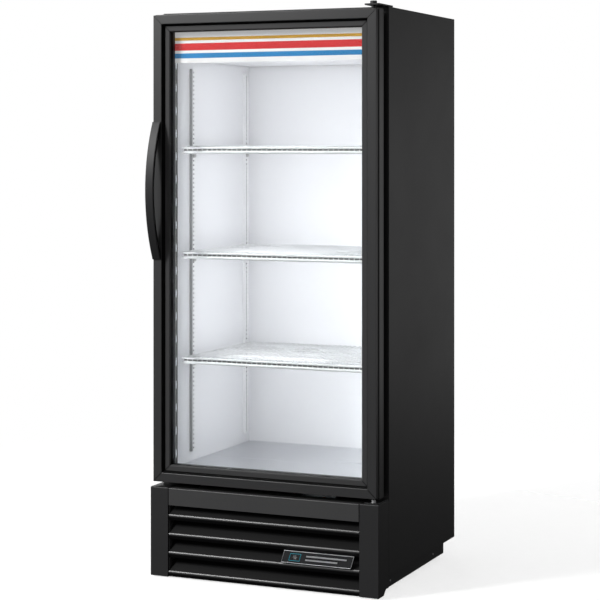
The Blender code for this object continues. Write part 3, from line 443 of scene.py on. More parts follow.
finishes = {
    "sideEnamel": {"colour": (0.020, 0.020, 0.021), "roughness": 0.44, "grainScale": 700, "relief": 0.35,
                   "speckle": 0.5},
    "doorBlack": {"colour": (0.036, 0.036, 0.037), "roughness": 0.34, "grainScale": 1400, "relief": 0.12,
                  "cloudScale": 3,
                  "mitre": True},
    "beadBlack": {"colour": (0.058, 0.058, 0.059), "roughness": 0.50, "grainScale": 1400, "relief": 0.12,
                  "specular": 0.22,
                  "mitre": True},
    # near-black painted shade for the step between the door frame and the glazing bead, where the groove lies in shade
    "grooveShadeBlack": {"colour": (0.005, 0.005, 0.005), "roughness": 0.70, "grainScale": 900, "relief": 0.1,
                    "specular": 0.08},
    "gripBlack": {"colour": (0.026, 0.026, 0.027), "roughness": 0.44, "specular": 0.26, "grainScale": 1600,
                  "relief": 0.15},
    # painted shade for the grip's right flank
    "gripShadedSide": {"colour": (0.006, 0.006, 0.0065), "roughness": 0.60, "specular": 0.12, "grainScale": 1600,
                 "relief": 0.15},
    "grilleBlack": {"colour": (0.058, 0.058, 0.059), "roughness": 0.36, "grainScale": 800, "relief": 0.25,
                    "speckle": 0.5},
    "trimBlack": {"colour": (0.020, 0.020, 0.021), "roughness": 0.44, "grainScale": 800, "relief": 0.30,
                  "speckle": 0.6},
    "slatBlack": {"colour": (0.0035, 0.0035, 0.0038), "roughness": 0.50, "grainScale": 520, "relief": 0.12,
                  "speckle": 1.6,
                  "specular": 0.14},
    # lighter finish for the slats' rounded noses: a painted highlight along each nose
    "noseHighlightBlack": {"colour": (0.012, 0.012, 0.0125), "roughness": 0.34, "grainScale": 900, "relief": 0.02,
                  "specular": 0.75},
    "jambBlack": {"colour": (0.020, 0.020, 0.021), "roughness": 0.40, "grainScale": 1000, "relief": 0.15},
    "rubberBlack": {"colour": (0.016, 0.016, 0.017), "roughness": 0.75, "grainScale": 1200, "relief": 0.2,
                    "specular": 0.3},
    "hingeBlack": {"colour": (0.022, 0.022, 0.023), "roughness": 0.35, "grainScale": 900, "relief": 0.2},
    "spacerDark": {"colour": (0.050, 0.050, 0.052), "roughness": 0.5, "metallic": 0.6, "grainScale": 600,
                   "relief": 0.3},
    "linerWhite": {"colour": (0.80, 0.80, 0.82), "roughness": 0.34, "grainScale": 260, "relief": 0.05, "speckle": 0.02,
                   "colourSpread": 0.04},
    "stripWhite": {"colour": (0.82, 0.82, 0.83), "roughness": 0.36, "grainScale": 700, "relief": 0.08, "speckle": 0.03,
                   "colourSpread": 0.05},
    # dark painted shade for the inside of the pilaster channels and the walls of their slots
    "stripInsideShade": {"colour": (0.02, 0.02, 0.022), "roughness": 0.6, "metallic": 0.5},
    # mid-grey painted shade on the front pilasters' front-facing edge
    "stripFaceShade": {"colour": (0.26, 0.265, 0.27), "roughness": 0.45, "grainScale": 700, "relief": 0.08, "speckle": 0.06},
    "wireWhite": {"colour": (0.62, 0.625, 0.63), "roughness": 0.28, "grainScale": 500, "relief": 0.1, "speckle": 0.03,
                  "colourSpread": 0.05, "coat": 0.2},
    "frontWhite": {"colour": (0.60, 0.605, 0.61), "roughness": 0.30, "grainScale": 500, "relief": 0.1, "speckle": 0.03,
                   "colourSpread": 0.05},
    "tagGrey": {"colour": (0.17, 0.165, 0.165), "roughness": 0.5, "grainScale": 400, "speckle": 0.3},
    "clipZinc": {"colour": (0.42, 0.42, 0.41), "roughness": 0.38, "metallic": 0.9, "grainScale": 300, "speckle": 0.3},
    "floorSteel": {"colour": (0.66, 0.67, 0.69), "roughness": 0.30, "metallic": 1.0, "grainScale": 90,
                   "stretch": (0.6, 14, 14),
                   "speckle": 0.25, "relief": 0.06, "roughSpread": 0.15},
    "galvanised": {"colour": (0.50, 0.52, 0.54), "roughness": 0.42, "metallic": 0.9, "grainScale": 55, "speckle": 0.55,
                   "relief": 0.03, "roughSpread": 0.2},
    "screwSteel": {"colour": (0.30, 0.30, 0.31), "roughness": 0.35, "metallic": 1.0, "grainScale": 500},
    "chrome": {"colour": (0.94, 0.94, 0.95), "roughness": 0.25, "metallic": 0.6, "grainScale": 300, "relief": 0.02,
               "speckle": 0.03},
    "foam": {"colour": (0.74, 0.64, 0.38), "roughness": 0.9, "grainScale": 450, "relief": 0.8, "speckle": 0.4},
    "finAluminium": {"colour": (0.72, 0.73, 0.74), "roughness": 0.38, "metallic": 1.0, "grainScale": 240,
                     "speckle": 0.3},
    "copper": {"colour": (0.70, 0.33, 0.18), "roughness": 0.30, "metallic": 1.0, "grainScale": 120, "speckle": 0.35},
    "motorBlack": {"colour": (0.022, 0.022, 0.023), "roughness": 0.28, "grainScale": 350, "relief": 0.15, "coat": 0.4},
    "fanPlastic": {"colour": (0.020, 0.020, 0.021), "roughness": 0.45, "grainScale": 900},
    "controlWhite": {"colour": (0.78, 0.785, 0.79), "roughness": 0.42, "grainScale": 1100, "speckle": 0.06},
    "dialGrey": {"colour": (0.28, 0.285, 0.29), "roughness": 0.40, "grainScale": 1300},
    "rockerBlack": {"colour": (0.022, 0.022, 0.022), "roughness": 0.22, "grainScale": 900, "relief": 0.05},
    "markWhite": {"colour": (0.85, 0.85, 0.85), "roughness": 0.45, "grainScale": 800},
    "badgeDark": {"colour": (0.030, 0.031, 0.033), "roughness": 0.25, "grainScale": 500, "coat": 0.6, "relief": 0.05},
    "badgeSilver": {"colour": (0.80, 0.81, 0.83), "roughness": 0.40, "metallic": 1.0, "grainScale": 600, "relief": 0.05,
                    "speckle": 0.08},
    "badgeCyan": {"colour": (0.02, 0.42, 0.55), "roughness": 0.3, "grainScale": 600, "relief": 0.05},
    "barGrey": {"colour": (0.30, 0.305, 0.30), "roughness": 0.42, "grainScale": 300, "speckle": 0.3,
                "stretch": (1, 1, 0.1)},
}
finish = {name: makeFinish(name, user) for name, user in finishes.items()}
print("finishes made:", len(finish))


def makeGlass():
    # Clear float glass with a faint green cast; lamp rays pass straight through it, so that it doesn't darken the
    # room behind.
    user = {"tint": (0.975, 0.985, 0.985, 1), "roughness": 0.010, "smearScale": 7.0, "smear": 0.015}
    material, tree, shader, place = newMaterial("doorGlass")
    shader.inputs["Base Color"].default_value = user["tint"]
    shader.inputs["Transmission Weight"].default_value = 1.0
    shader.inputs["IOR"].default_value = 1.45
    shader.inputs["Specular IOR Level"].default_value = 0.08  # coated against reflections
    smear = noiseNode(tree, place, user["smearScale"], 3.0)
    tree.links.new(mathNode(tree, "MULTIPLY_ADD", smear, user["smear"], user["roughness"]), shader.inputs["Roughness"])
    clear, path, mix = (tree.nodes.new("ShaderNode" + kind) for kind in ("BsdfTransparent", "LightPath", "MixShader"))
    clear.inputs["Color"].default_value = user["tint"]
    output = next(node for node in tree.nodes if node.type == "OUTPUT_MATERIAL")
    tree.links.new(path.outputs["Is Shadow Ray"], mix.inputs[0])
    tree.links.new(shader.outputs[0], mix.inputs[1])
    tree.links.new(clear.outputs[0], mix.inputs[2])
    tree.links.new(mix.outputs[0], output.inputs["Surface"])
    return material


def makeSign(low, high):
    # White film with three plain full-width bands: a point's band is the last one whose lower edge, as a share of the
    # sign's height, it has passed.
    user = {
        "white": (0.43, 0.43, 0.43), "roughness": 0.45, "glow": 0.75, "cloudScale": 5, "colourSpread": 0.03,
        "speckle": 0.03,
        "bands": [(0.15, 0.31, (0.0, 0.10, 0.24)), (0.40, 0.63, (0.31, 0.0025, 0.004)),
                  (0.72, 0.82, (0.30, 0.16, 0.004))],
    }
    material, tree, shader, place = newMaterial("signFilm")
    split = tree.nodes.new("ShaderNodeSeparateXYZ")
    tree.links.new(place, split.inputs[0])
    share = mathNode(tree, "DIVIDE", mathNode(tree, "SUBTRACT", split.outputs["Z"], low), high - low)
    ramp = tree.nodes.new("ShaderNodeValToRGB")
    ramp.color_ramp.interpolation = "CONSTANT"
    ramp.color_ramp.elements[0].color = (*user["white"], 1)
    ramp.color_ramp.elements.remove(ramp.color_ramp.elements[1])
    for start, end, colour in user["bands"]:
        ramp.color_ramp.elements.new(start).color = (*colour, 1)
        ramp.color_ramp.elements.new(end).color = (*user["white"], 1)
    tree.links.new(share, ramp.inputs[0])
    toned = addTone(tree, place, user)[1]
    tree.links.new(ramp.outputs["Color"], toned.inputs["Colour"])
    tree.links.new(toned.outputs["Colour"], shader.inputs["Base Color"])
    tree.links.new(toned.outputs["Roughness"], shader.inputs["Roughness"])
    tree.links.new(ramp.outputs["Color"], shader.inputs["Emission Color"])
    shader.inputs["Emission Strength"].default_value = user["glow"]  # painted glow: the film gives off light of its own in every pose, partly standing in for the lamp behind it shining through and partly evening out the top rail's shadow on it
    shader.inputs["Specular IOR Level"].default_value = 0.08
    return material


def makeLens():
    # A lit emitter whose glow is clouded a little, like a frosted cover.
    user = {"colour": (0.93, 0.96, 1.0), "strength": 1.1}
    material, tree, shader, place = newMaterial("emitterLens")
    glow = noiseNode(tree, place, 120.0, 1.0)
    ramp = tree.nodes.new("ShaderNodeValToRGB")
    ramp.color_ramp.elements[0].color = (0.6, 0.64, 0.68, 1)
    ramp.color_ramp.elements[1].color = (*user["colour"], 1)
    tree.links.new(glow, ramp.inputs[0])
    tree.links.new(ramp.outputs["Color"], shader.inputs["Base Color"])
    tree.links.new(ramp.outputs["Color"], shader.inputs["Emission Color"])
    shader.inputs["Emission Strength"].default_value = user["strength"]
    shader.inputs["Roughness"].default_value = 0.15
    return material


def keepNode(node, finishName):
    # A CAD node that is shown as it is, with a finished material.
    mesh = frame["nodes"][node].data
    mesh.materials.clear()
    mesh.materials.append(finish[finishName])


# ---- door ----

door = {
    "edgeRadii": (0.0009, 0.0014, 0.0006, 0.0003, 0.0005, 0.0007, 0.0007, 0.0003, 0.0007, 0.0007, 0.0003),
    "beadRadii": (0.0005, 0.0011, 0.0009, 0.0004, 0.0002),
    "mitreGap": 0.00040,
    "grooveFaces": (9, 15),
    "beadGrooveFaces": (14, 15),
    "lightStileInside": 0.040,
    "emitterPitch": 0.0645,
    "emitterHalfSize": (0.0009, 0.0014, 0.0125),
    "emitterInset": 0.0034,
    "gripRound": 0.0032,
}
frameProfile = np.array(
    [(2.5, 2), (27.5, 2), (33.2, 13.5), (33.2, 52), (48, 52), (48, 60), (3, 60), (3, 50), (0, 50), (0, 19), (2.5, 19)]
) / 1000 + (0, frontY)
lightProfile = frameProfile.copy()
lightProfile[4:6, 0] = door["lightStileInside"]


def grooved(count, start, stop):
    # Faces from start up to stop take the piece's second finish, in the order the section's points are numbered.
    place = np.arange(count)
    return ((place >= start) & (place < stop)).astype(int)


names = {"left": "left_stile", "right": "right_stile", "top": "top_rail", "bottom": "bottom_rail"}
# each member's groove faces take the near-black painted shade of the step
for edge, node in names.items():
    profile = rounded(lightProfile if edge == "left" else frameProfile, door["edgeRadii"])
    shape = mitredBar(profile, edge, door["mitreGap"])
    addPiece(f"doorFrame{edge.title()}", shape, ["doorBlack", "grooveShadeBlack"], [node], "door",
             picks=grooved(len(shape[1]), *door["grooveFaces"]))

beadProfile = np.array([(33.5, 14), (47, 14), (50, 18), (50, 29.9), (33.5, 29.9)]) / 1000 + (0, frontY)
beadProfile = rounded(beadProfile, door["beadRadii"])
bead = together(*[mitredBar(beadProfile, edge, door["mitreGap"]) for edge in names])
# the bead's inner slope, facing the glass, takes the same near-black painted shade
picks = np.tile(grooved(len(bead[1]) // 4, *door["beadGrooveFaces"]), 4)
addPiece("glazingBead", bead, ["beadBlack", "grooveShadeBlack"], ["glazing_bead"], "door", picks=picks)

spacerProfile = np.array([(36, 34.5), (48, 34.5), (48, 47.2), (36, 47.2)]) / 1000 + (0, frontY)
spacer = aroundDoor(rounded(spacerProfile, (0.0004, 0.0012, 0.0012, 0.0004)))
addPiece("glassSpacer", spacer, "spacerDark", ["glass_spacer"], "door")

finish["doorGlass"] = makeGlass()
keepNode("front_glass", "doorGlass")
keepNode("rear_glass", "doorGlass")

signLow, signHigh = boxOf("door_sign")
corners = rounded(rectangle(signLow[0], signLow[2], signHigh[0], signHigh[2]), 0.002)
sign = extruded(corners, "Y", signLow[1], signHigh[1])
finish["signFilm"] = makeSign(signLow[2], signHigh[2])
addPiece("headerSign", sign, "signFilm", ["door_sign"], "door", soften=0.0003)

# The strip light: a grey channel, and a long clear lens over each emitter
barLow, barHigh = boxOf("led_light_bar")
barOutline = [
    (barLow[0], barLow[1]), (barHigh[0], barLow[1]), (barHigh[0], barHigh[1] - 0.002),
    (barHigh[0] - 0.002, barHigh[1]), (barLow[0], barHigh[1]),
]
bar = extruded(rounded(barOutline, (0.0002, 0.0008, 0.0006, 0.0006, 0.0002)), "Z", barLow[2], barHigh[2])
addPiece("lightBar", bar, "barGrey", ["led_light_bar"], "door")
count = int((barHigh[2] - barLow[2] - 0.02) / door["emitterPitch"])
levels = (barLow[2] + barHigh[2]) / 2 + (np.arange(count + 1) - count / 2) * door["emitterPitch"]
tip = np.radians(np.array([90, 65, 40, 20, 0]))
lensProfile = np.stack([np.cos(tip), np.sin(tip)], -1)
lensProfile = np.concatenate([lensProfile, [(0.98, -0.25), (0, -0.25)]])
lensPoints, lensFaces = lathe(lensProfile, (0, 0, 0), "X", 20)
lensPoints = lensPoints * door["emitterHalfSize"]
spots = np.stack([np.full(count + 1, barHigh[0]), np.full(count + 1, barLow[1] + door["emitterInset"]), levels], -1)
lenses = repeated((lensPoints, lensFaces), spots)
finish["emitterLens"] = makeLens()
addPiece("emitterLenses", lenses, "emitterLens", (), "door")

gasketProfile = np.array(
    [(20, 60.3), (44, 60.3), (43.4, 63.6), (40.6, 66), (42.6, 69), (41.6, 77.7), (23, 77.7), (21.6, 69), (23.2, 66),
     (20.4, 63.6)]
) / 1000 + (0, frontY)
addPiece("doorGasket", aroundDoor(rounded(gasketProfile, 0.0008)), "rubberBlack", ["door_gasket"],
         "door")

gripLow, gripHigh = boxOf("door_handle")


def gripShape():
    # Two circle arcs of the same middle height, y = R - bow - sqrt(R^2 - (z - m)^2) with R = (reach^2 + bow^2) / 2
    # bow, bound rounded-rectangle sections.
    base, middle = gripHigh[1], (gripLow[2] + gripHigh[2]) / 2
    reach = (gripHigh[2] - gripLow[2]) / 2
    foot, thick, crotch, draw = 0.004, 0.0095, 0.019, 0.0009
    z = middle + np.sin(np.linspace(-np.pi / 2, np.pi / 2, 73)) * (reach - draw)
    z = np.concatenate([[gripLow[2]], z, [gripHigh[2]]])

    def arc(bow, half):
        radius = (half**2 + bow**2) / (2 * bow)
        inside = np.clip(z - middle, -half, half)
        return radius - bow - np.sqrt(radius**2 - inside**2)

    bow = base - gripLow[1]
    outer = base - foot + arc(bow - foot, reach)
    inner = base + arc(bow - thick, reach - crotch)
    shrink = np.zeros(len(z))
    shrink[[0, -1]] = draw
    halfWide = (gripHigh[0] - gripLow[0]) / 2 - shrink
    halfDeep = np.maximum((inner - outer) / 2 - shrink, 0.001)
    corner = np.minimum(door["gripRound"], halfDeep * 0.9)
    angle = np.radians(np.arange(0, 360, 15) + 7.5)
    wayX, wayY = np.sign(np.cos(angle)), np.sign(np.sin(angle))
    x = (gripLow[0] + gripHigh[0]) / 2 + (halfWide - corner)[:, None] * wayX + corner[:, None] * np.cos(angle)
    y = ((inner + outer) / 2)[:, None] + (halfDeep - corner)[:, None] * wayY + corner[:, None] * np.sin(angle)
    return loft(np.stack([x, y, z[:, None] + 0 * x], -1))


grip = gripShape()
# The flat right flank lies between the last and first points of each section, and it and its two neighbours take a
# darker, duller finish: painted shade on the grip's right side
flank = np.append(np.tile(np.isin(np.arange(24), (22, 23, 0)), (len(grip[1]) - 2) // 24).astype(int), (0, 0))
addPiece("doorHandle", grip, ["gripBlack", "gripShadedSide"], ["door_handle"], "door", sharp=50, picks=flank)
print("door made")

# ---- hinges ----

hinge = {"plate": 0.0040, "lowerPlate": 0.003, "pinX": 0.322, "pinY": frontY + 0.018, "pin": 0.0062, "knuckle": 0.0092,
         "ball": 0.0066, "ballRise": 0.0042, "ballZ": 0.2602, "washerZ": 0.2557, "washer": 0.0074, "tipZ": 0.2641}
topLow, topHigh = boxOf("top_hinge_bracket")
plateOutline = rounded(rectangle(topLow[0], topLow[1], topHigh[0], topHigh[1]), (0.006, 0.004, 0.002, 0.006))
hingePlate = extruded(plateOutline, "Z", caseTop + hair, caseTop + hair + hinge["plate"])
knuckle = lathe(
    rounded([(0, doorTop + 0.0006), (hinge["pin"], doorTop + 0.0006), (hinge["pin"], caseTop - 0.0016),
             (hinge["knuckle"], caseTop - 0.0016), (hinge["knuckle"], topHigh[2]), (0, topHigh[2])],
            (0, 0.0006, 0.0004, 0.0006, 0.0018, 0)),
    (hinge["pinX"], hinge["pinY"], 0), "Z", 40,
)
addPiece("topHinge", together(hingePlate, knuckle), "hingeBlack", ["top_hinge_bracket"], soften=0.0005)
bottomLow, bottomHigh = boxOf("bottom_hinge_bracket")
lowerPlate = extruded(
    rounded(rectangle(bottomLow[0], bottomLow[1], bottomHigh[0], bottomHigh[1]), (0.003, 0.005, 0.001, 0.001)),
    "Z", bottomLow[2], bottomLow[2] + hinge["lowerPlate"],
)
upright = extruded(rectangle(bottomLow[0], bottomHigh[1] - 0.002, 0.324, bottomHigh[1]), "Z", bottomLow[2] + 0.0005,
                   0.2635)
addPiece("bottomHinge", together(lowerPlate, upright), "hingeBlack", ["bottom_hinge_bracket"],
         soften=0.0004)
ballAngle = np.radians(np.arange(-62, 42, 8))
ballProfile = np.stack([hinge["ball"] * np.cos(ballAngle), hinge["ballZ"] + hinge["ballRise"] * np.sin(ballAngle)], -1)
washer = [(0, hinge["washerZ"]), (hinge["washer"], hinge["washerZ"]), (hinge["washer"], hinge["washerZ"] + 0.0009)]
ballProfile = np.concatenate([washer, ballProfile, [(0.0048, hinge["tipZ"]), (0, hinge["tipZ"])]])
addPiece("hingeBearing", lathe(ballProfile, (hinge["pinX"], hinge["pinY"], 0), "Z", 40), "chrome")
print("hinges made")

# ---- cabinet ----

softened("left_side_panel", "leftSidePanel", "sideEnamel", 0.0006)
softened("right_side_panel", "rightSidePanel", "sideEnamel", 0.0006)
softened("top_panel", "topPanel", "sideEnamel", 0.0006)
softened("lower_front_rail", "lowerFrontRail", "sideEnamel", 0.0004)
softened("base_frame", "baseFrame", "sideEnamel", 0.0007)
softened("rear_panel", "rearPanel", "galvanised", 0.0004)
softened("front_jamb", "frontJamb", "jambBlack", 0.0007)
softened("floor_pan", "floorPan", "floorSteel", 0.0003)
keepNode("foam_body", "foam")
keepNode("inner_liner", "linerWhite")


def pilasterShape(low, high, face, faceShadePick):
    # A channel with a row of slots: each level of the pitch has the channel's eight corners, and each slot four
    # corners on the front of its sheet and four on the back.
    user = {"pitch": 0.0127, "sheet": 0.0012, "slotFrom": 0.0045, "slotTo": 0.0100, "slotHeight": 0.0046}
    wall = low[0] if face > low[0] else high[0]
    back = face + (user["sheet"] if wall > face else -user["sheet"])
    y0, y1, sheet = low[1], high[1], user["sheet"]
    cells = int((high[2] - low[2] - 0.004) / user["pitch"])
    start = (low[2] + high[2] - cells * user["pitch"]) / 2
    levels = start + np.arange(cells + 1) * user["pitch"]
    middles = (levels[1:] + levels[:-1]) / 2
    levels[0], levels[-1] = low[2], high[2]
    outline = [(wall, y0), (face, y0), (face, y1), (wall, y1), (wall, y1 - sheet), (back, y1 - sheet),
               (back, y0 + sheet), (wall, y0 + sheet)]
    x, y = np.array(outline).T
    rings = toAxes(x, y, levels[:, None], "Z")
    s0, s1, half = y0 + user["slotFrom"], y0 + user["slotTo"], user["slotHeight"] / 2
    slotX = np.array([face] * 4 + [back] * 4)
    slotY = np.array([s0, s1, s1, s0] * 2)
    rise = np.array([-half, -half, half, half] * 2)
    slots = np.stack([slotX + 0 * middles[:, None], slotY + 0 * middles[:, None], middles[:, None] + rise], -1)
    ring = (np.arange(cells) * 8)[:, None]
    slot = ring + 8 * (cells + 1)
    plain = [[ring + i, ring + (i + 1) % 8, ring + 8 + (i + 1) % 8, ring + 8 + i] for i in (0, 2, 3, 4, 6, 7)]
    front = [[ring + 1, ring + 2, slot + 1, slot], [ring + 2, ring + 10, slot + 2, slot + 1],
             [ring + 10, ring + 9, slot + 3, slot + 2], [ring + 9, ring + 1, slot, slot + 3]]
    rear = [[ring + 6, ring + 5, slot + 5, slot + 4], [ring + 5, ring + 13, slot + 6, slot + 5],
            [ring + 13, ring + 14, slot + 7, slot + 6], [ring + 14, ring + 6, slot + 4, slot + 7]]
    sides = [[slot + i, slot + (i + 1) % 4, slot + 4 + (i + 1) % 4, slot + 4 + i] for i in range(4)]
    groups = plain + front + rear + sides
    quads = np.concatenate([np.concatenate(group, 1) for group in groups]).tolist()
    # the channel's inner sheet faces and the slots' rear and side walls take the dark painted shade of the channel's
    # inside
    picks = np.repeat([faceShadePick] + [0] * 2 + [1] * 2 + [0] + [0] * 4 + [1] * 8, cells).tolist()
    last = cells * 8
    caps = [[7, 6, 5, 4, 3, 2, 1, 0], [last + i for i in range(8)]]
    points = np.concatenate([rings.reshape(-1, 3), slots.reshape(-1, 3)])
    return (points, quads + caps), picks + [0, 0]


for side in ("left", "right"):
    for end in ("front", "rear"):
        node = f"{side}_{end}_pilaster"
        low, high = boxOf(node)
        face = high[0] if side == "left" else low[0]
        # a front pilaster's front-facing edge takes the mid-grey painted shade
        shape, picks = pilasterShape(low, high, face, 2 if end == "front" else 0)
        addPiece(f"{side}{end.title()}Pilaster", shape, ["stripWhite", "stripInsideShade", "stripFaceShade"],
                 [node], picks=picks)
print("cabinet made")

# ---- shelves ----

shelf = {"wire": 0.0016, "wires": 37, "endGap": 0.016, "rim": 0.0030, "upperRod": 0.0032, "lowerRod": 0.0043,
         "clipWide": 0.012}
bodies = {1: "upper_shelf", 2: "middle_shelf", 3: "lower_shelf"}
clips = []
for number, body in bodies.items():
    low, high = boxOf(f"shelf_{number}")
    tagLow, tagHigh = boxOf(f"tag_moulding_{number}")
    top = high[2]
    upperZ, lowerZ = tagHigh[2] - shelf["upperRod"], tagLow[2] + shelf["lowerRod"]
    upperY, lowerY = tagLow[1] + shelf["upperRod"], tagLow[1] + shelf["lowerRod"]
    dropY = tagLow[1] + 0.0052
    corner = np.radians(np.linspace(0, 90, 7))
    bend = 0.0030
    path = np.concatenate([
        [(high[1] - 0.001, top - shelf["wire"]), (high[1] - 0.12, top - shelf["wire"]),
         (dropY + 0.02, top - shelf["wire"])],
        np.stack([dropY + bend - bend * np.sin(corner), top - shelf["wire"] - bend + bend * np.cos(corner)], -1),
        [(dropY, lowerZ)],
    ])
    across = np.linspace(tagLow[0] + shelf["endGap"], tagHigh[0] - shelf["endGap"], shelf["wires"])
    wires = repeated(bentRod(path, shelf["wire"], 8), np.stack([across, 0 * across, 0 * across], -1))
    rimZ = top - 2 * shelf["wire"] - shelf["rim"] + 0.0008
    rim, left, right = shelf["rim"], low[0] + shelf["rim"], high[0] - shelf["rim"]
    crossYs = np.array([0.22, 0.44, 0.66, 0.985]) * (high[1] - low[1]) + low[1]
    cross = rods([(left, y, rimZ) for y in crossYs], [(right, y, rimZ) for y in crossYs], rim, 12)
    sides = rods([(x, low[1] + 0.001, rimZ) for x in (left, right)],
                 [(x, high[1] - rim, rimZ) for x in (left, right)], rim, 12)
    addPiece(f"wireShelf{number}", together(wires, cross, sides), "wireWhite", [f"shelf_{number}"],
             body)
    fronts = rods(
        [(tagLow[0], upperY, upperZ)], [(tagHigh[0], upperY, upperZ)], shelf["upperRod"], 20)
    fronts = together(fronts,
                      rods([(tagLow[0] + 0.001, lowerY, lowerZ)], [(tagHigh[0] - 0.001, lowerY, lowerZ)],
                           shelf["lowerRod"], 20))
    addPiece(f"shelfFront{number}", fronts, "frontWhite", [f"tag_moulding_{number}"], body)
    strip = extruded(
        rectangle(tagLow[0] + 0.004, lowerZ, tagHigh[0] - 0.004, upperZ), "Y", tagHigh[1] - 0.0011, tagHigh[1] - 0.0003)
    addPiece(f"tagStrip{number}", strip, "tagGrey", (), body)
    for side in ("left", "right"):
        for end in ("front", "rear"):
            pilLow, pilHigh = boxOf(f"{side}_{end}_pilaster")
            sign = 1 if side == "left" else -1
            face = (pilHigh[0] if side == "left" else pilLow[0]) + sign * hair
            ledge = low[2] - 0.0016
            outline = [
                (face, ledge), (face + sign * 0.0150, ledge), (face + sign * 0.0150, ledge - 0.0020),
                (face + sign * 0.0065, ledge - 0.0026), (face + sign * 0.0040, ledge - 0.0230), (face, ledge - 0.0250),
            ]
            middle = (pilLow[1] + pilHigh[1]) / 2 - 0.003
            clips.append(extruded(rounded(outline, (0.0006, 0.0006, 0.0006, 0.0030, 0.0012, 0.0006)), "Y",
                                  middle - shelf["clipWide"] / 2, middle + shelf["clipWide"] / 2))
addPiece("shelfClips", together(*clips), "clipZinc", soften=0.0004)
print("shelves made")

# ---- base ----

base = {"capRadii": (0.0030, 0.0030, 0.0020, 0.0010, 0.0015, 0.0030), "noseRadius": 0.0048, "noseFaces": (7, 13),
        "noses": (0.1744, 0.1221, 0.0704, 0.0167), "endPlate": 0.002}
for side in ("left", "right"):
    low, high = boxOf(f"{side}_corner_cap")
    outline = [
        (frontY, low[2]), (frontY + 0.040, low[2]), (frontY + 0.056, low[2] + 0.014), (high[1], low[2] + 0.014),
        (high[1], high[2]), (frontY, high[2]),
    ]
    cap = extruded(rounded(outline, base["capRadii"], 5), "X", low[0], high[0])
    addPiece(f"{side}CornerCap", cap, "trimBlack", [f"{side}_corner_cap"], soften=0.0011, segments=3)

grilleLow, grilleHigh = boxOf("front_grille")
sheet = 0.0016
panelOutline = np.array([
    (frontY, 0.2038), (frontY, grilleHigh[2]), (frontY + 0.045, grilleHigh[2]), (frontY + 0.045, grilleHigh[2] - sheet),
    (frontY + sheet, grilleHigh[2] - sheet), (frontY + sheet, 0.2038),
])
panel = extruded(rounded(panelOutline, (0.0005, 0.0026, 0.0003, 0.0003, 0.0012, 0.0005), 6), "X",
                 grilleLow[0] + 0.0014, grilleHigh[0] - 0.0014)
slatOutline = np.array([(4.0, -13), (0, 0.3), (37.6, 40.4), (39.2, 38.9), (3.2, 0.9),
                        (6.1, -12.4)]) / 1000 + (frontY + 0.0008, 0)
slatOutline = rounded(slatOutline, (0.0007, base["noseRadius"], 0.0005, 0.0005, 0.0020, 0.0006), 6)
slat = extruded(slatOutline, "X", grilleLow[0] + 0.001, grilleHigh[0] - 0.001)
slats = repeated(slat, [(0, 0, nose) for nose in base["noses"]])
plates = [
    extruded(rounded(rectangle(frontY + 0.0060, 0.0045, frontY + 0.0442, grilleHigh[2] - 0.0005), 0.002), "X",
             *sorted((x, x - s * base["endPlate"])))
    for x, s in ((grilleLow[0], -1), (grilleHigh[0], 1))
]
addPiece("grillePanel", together(panel, *plates), "grilleBlack", ["front_grille"], soften=0.0003)
# the rounded nose faces of each slat take the lighter painted highlight
addPiece("grilleSlats", slats, ["slatBlack", "noseHighlightBlack"],
         picks=np.tile(grooved(len(slat[1]), *base["noseFaces"]), len(base["noses"])))

# The nameplate carries a plain snowflake in a leaning box and two lines in place of a mark
badge = {"lean": 0.010, "low": 0.077, "high": 0.110, "left": 0.060, "right": 0.264, "rim": 0.0013}
back, face = frontY - 0.0006, frontY - 0.0024


def leaning(left, right, low, high):
    # A box whose sides lean by the plate's lean over the plate's height.
    slope = badge["lean"] / (badge["high"] - badge["low"])
    return [(left + (z - badge["low"]) * slope, z) for left,
            z in ((left, low), (right, low), (right, high), (left, high))]


def outlineRim(left, right, low, high, width, front, rear):
    # A leaning box less a smaller one, as a loop of four mitred sections.
    outer = np.array(leaning(left, right, low, high))
    inner = np.array(leaning(left + width, right - width, low + width, high - width))
    section = [np.stack([p, p, q, q]) for p, q in zip(outer, inner)]
    depth = np.array([rear, front, front, rear])
    return loft([np.stack([s[:, 0], depth, s[:, 1]], -1) for s in section], True)


plateFace = extruded(rounded(leaning(badge["left"], badge["right"], badge["low"], badge["high"]), 0.0015), "Y", face,
                     back)
posts = [lathe([(0, back), (0.004, back), (0.004, frontY + 0.015), (0, frontY + 0.015)], (x, 0, 0.092), "Y",
               20) for x in (0.095, 0.240)]
addPiece("nameplateFace", together(plateFace, *posts), "badgeDark", ["nameplate"], soften=0.0003)
rim = outlineRim(badge["left"] - 0.0003, badge["right"] + 0.0003, badge["low"] - 0.0003, badge["high"] + 0.0003,
                 badge["rim"], face - 0.0006, back)
addPiece("nameplateRim", rim, "badgeSilver", soften=0.0003)
boxLeft, boxRight = 0.080, 0.112
flakeBox = outlineRim(boxLeft, boxRight, 0.0835, 0.1035, 0.0011, face - 0.0004, face + 0.0002)
addPiece("flakeBox", flakeBox, "badgeCyan", soften=0.0001)
armWide, armLong = 0.0004, 0.0068
arm = extruded(rectangle(-armLong, -armWide, armLong, armWide), "Y", face - 0.0004, face + 0.0002)
barb = extruded(rectangle(-0.0022, -armWide * 0.8, 0.0022, armWide * 0.8), "Y", face - 0.0004, face + 0.0002)
barbs = repeated(turnedAbout(barb, (0, 0, 0), "Y", [np.pi / 2]), [(0.0042, 0, 0), (-0.0042, 0, 0)])
flake = turnedAbout(together(arm, barbs), (0, 0, 0), "Y", np.radians((0, 60, 120)))
flake = repeated(flake, [((boxLeft + boxRight) / 2 + 0.005, 0, 0.0935)])
lines = [
    extruded(leaning(left, right, low, low + 0.0040), "Y", face - 0.0004, face + 0.0002)
    for left, right, low in ((0.128, 0.246, 0.0965), (0.128, 0.222, 0.0865))
]
addPiece("nameplateLines", together(flake, *lines), "badgeSilver", soften=0.0001)

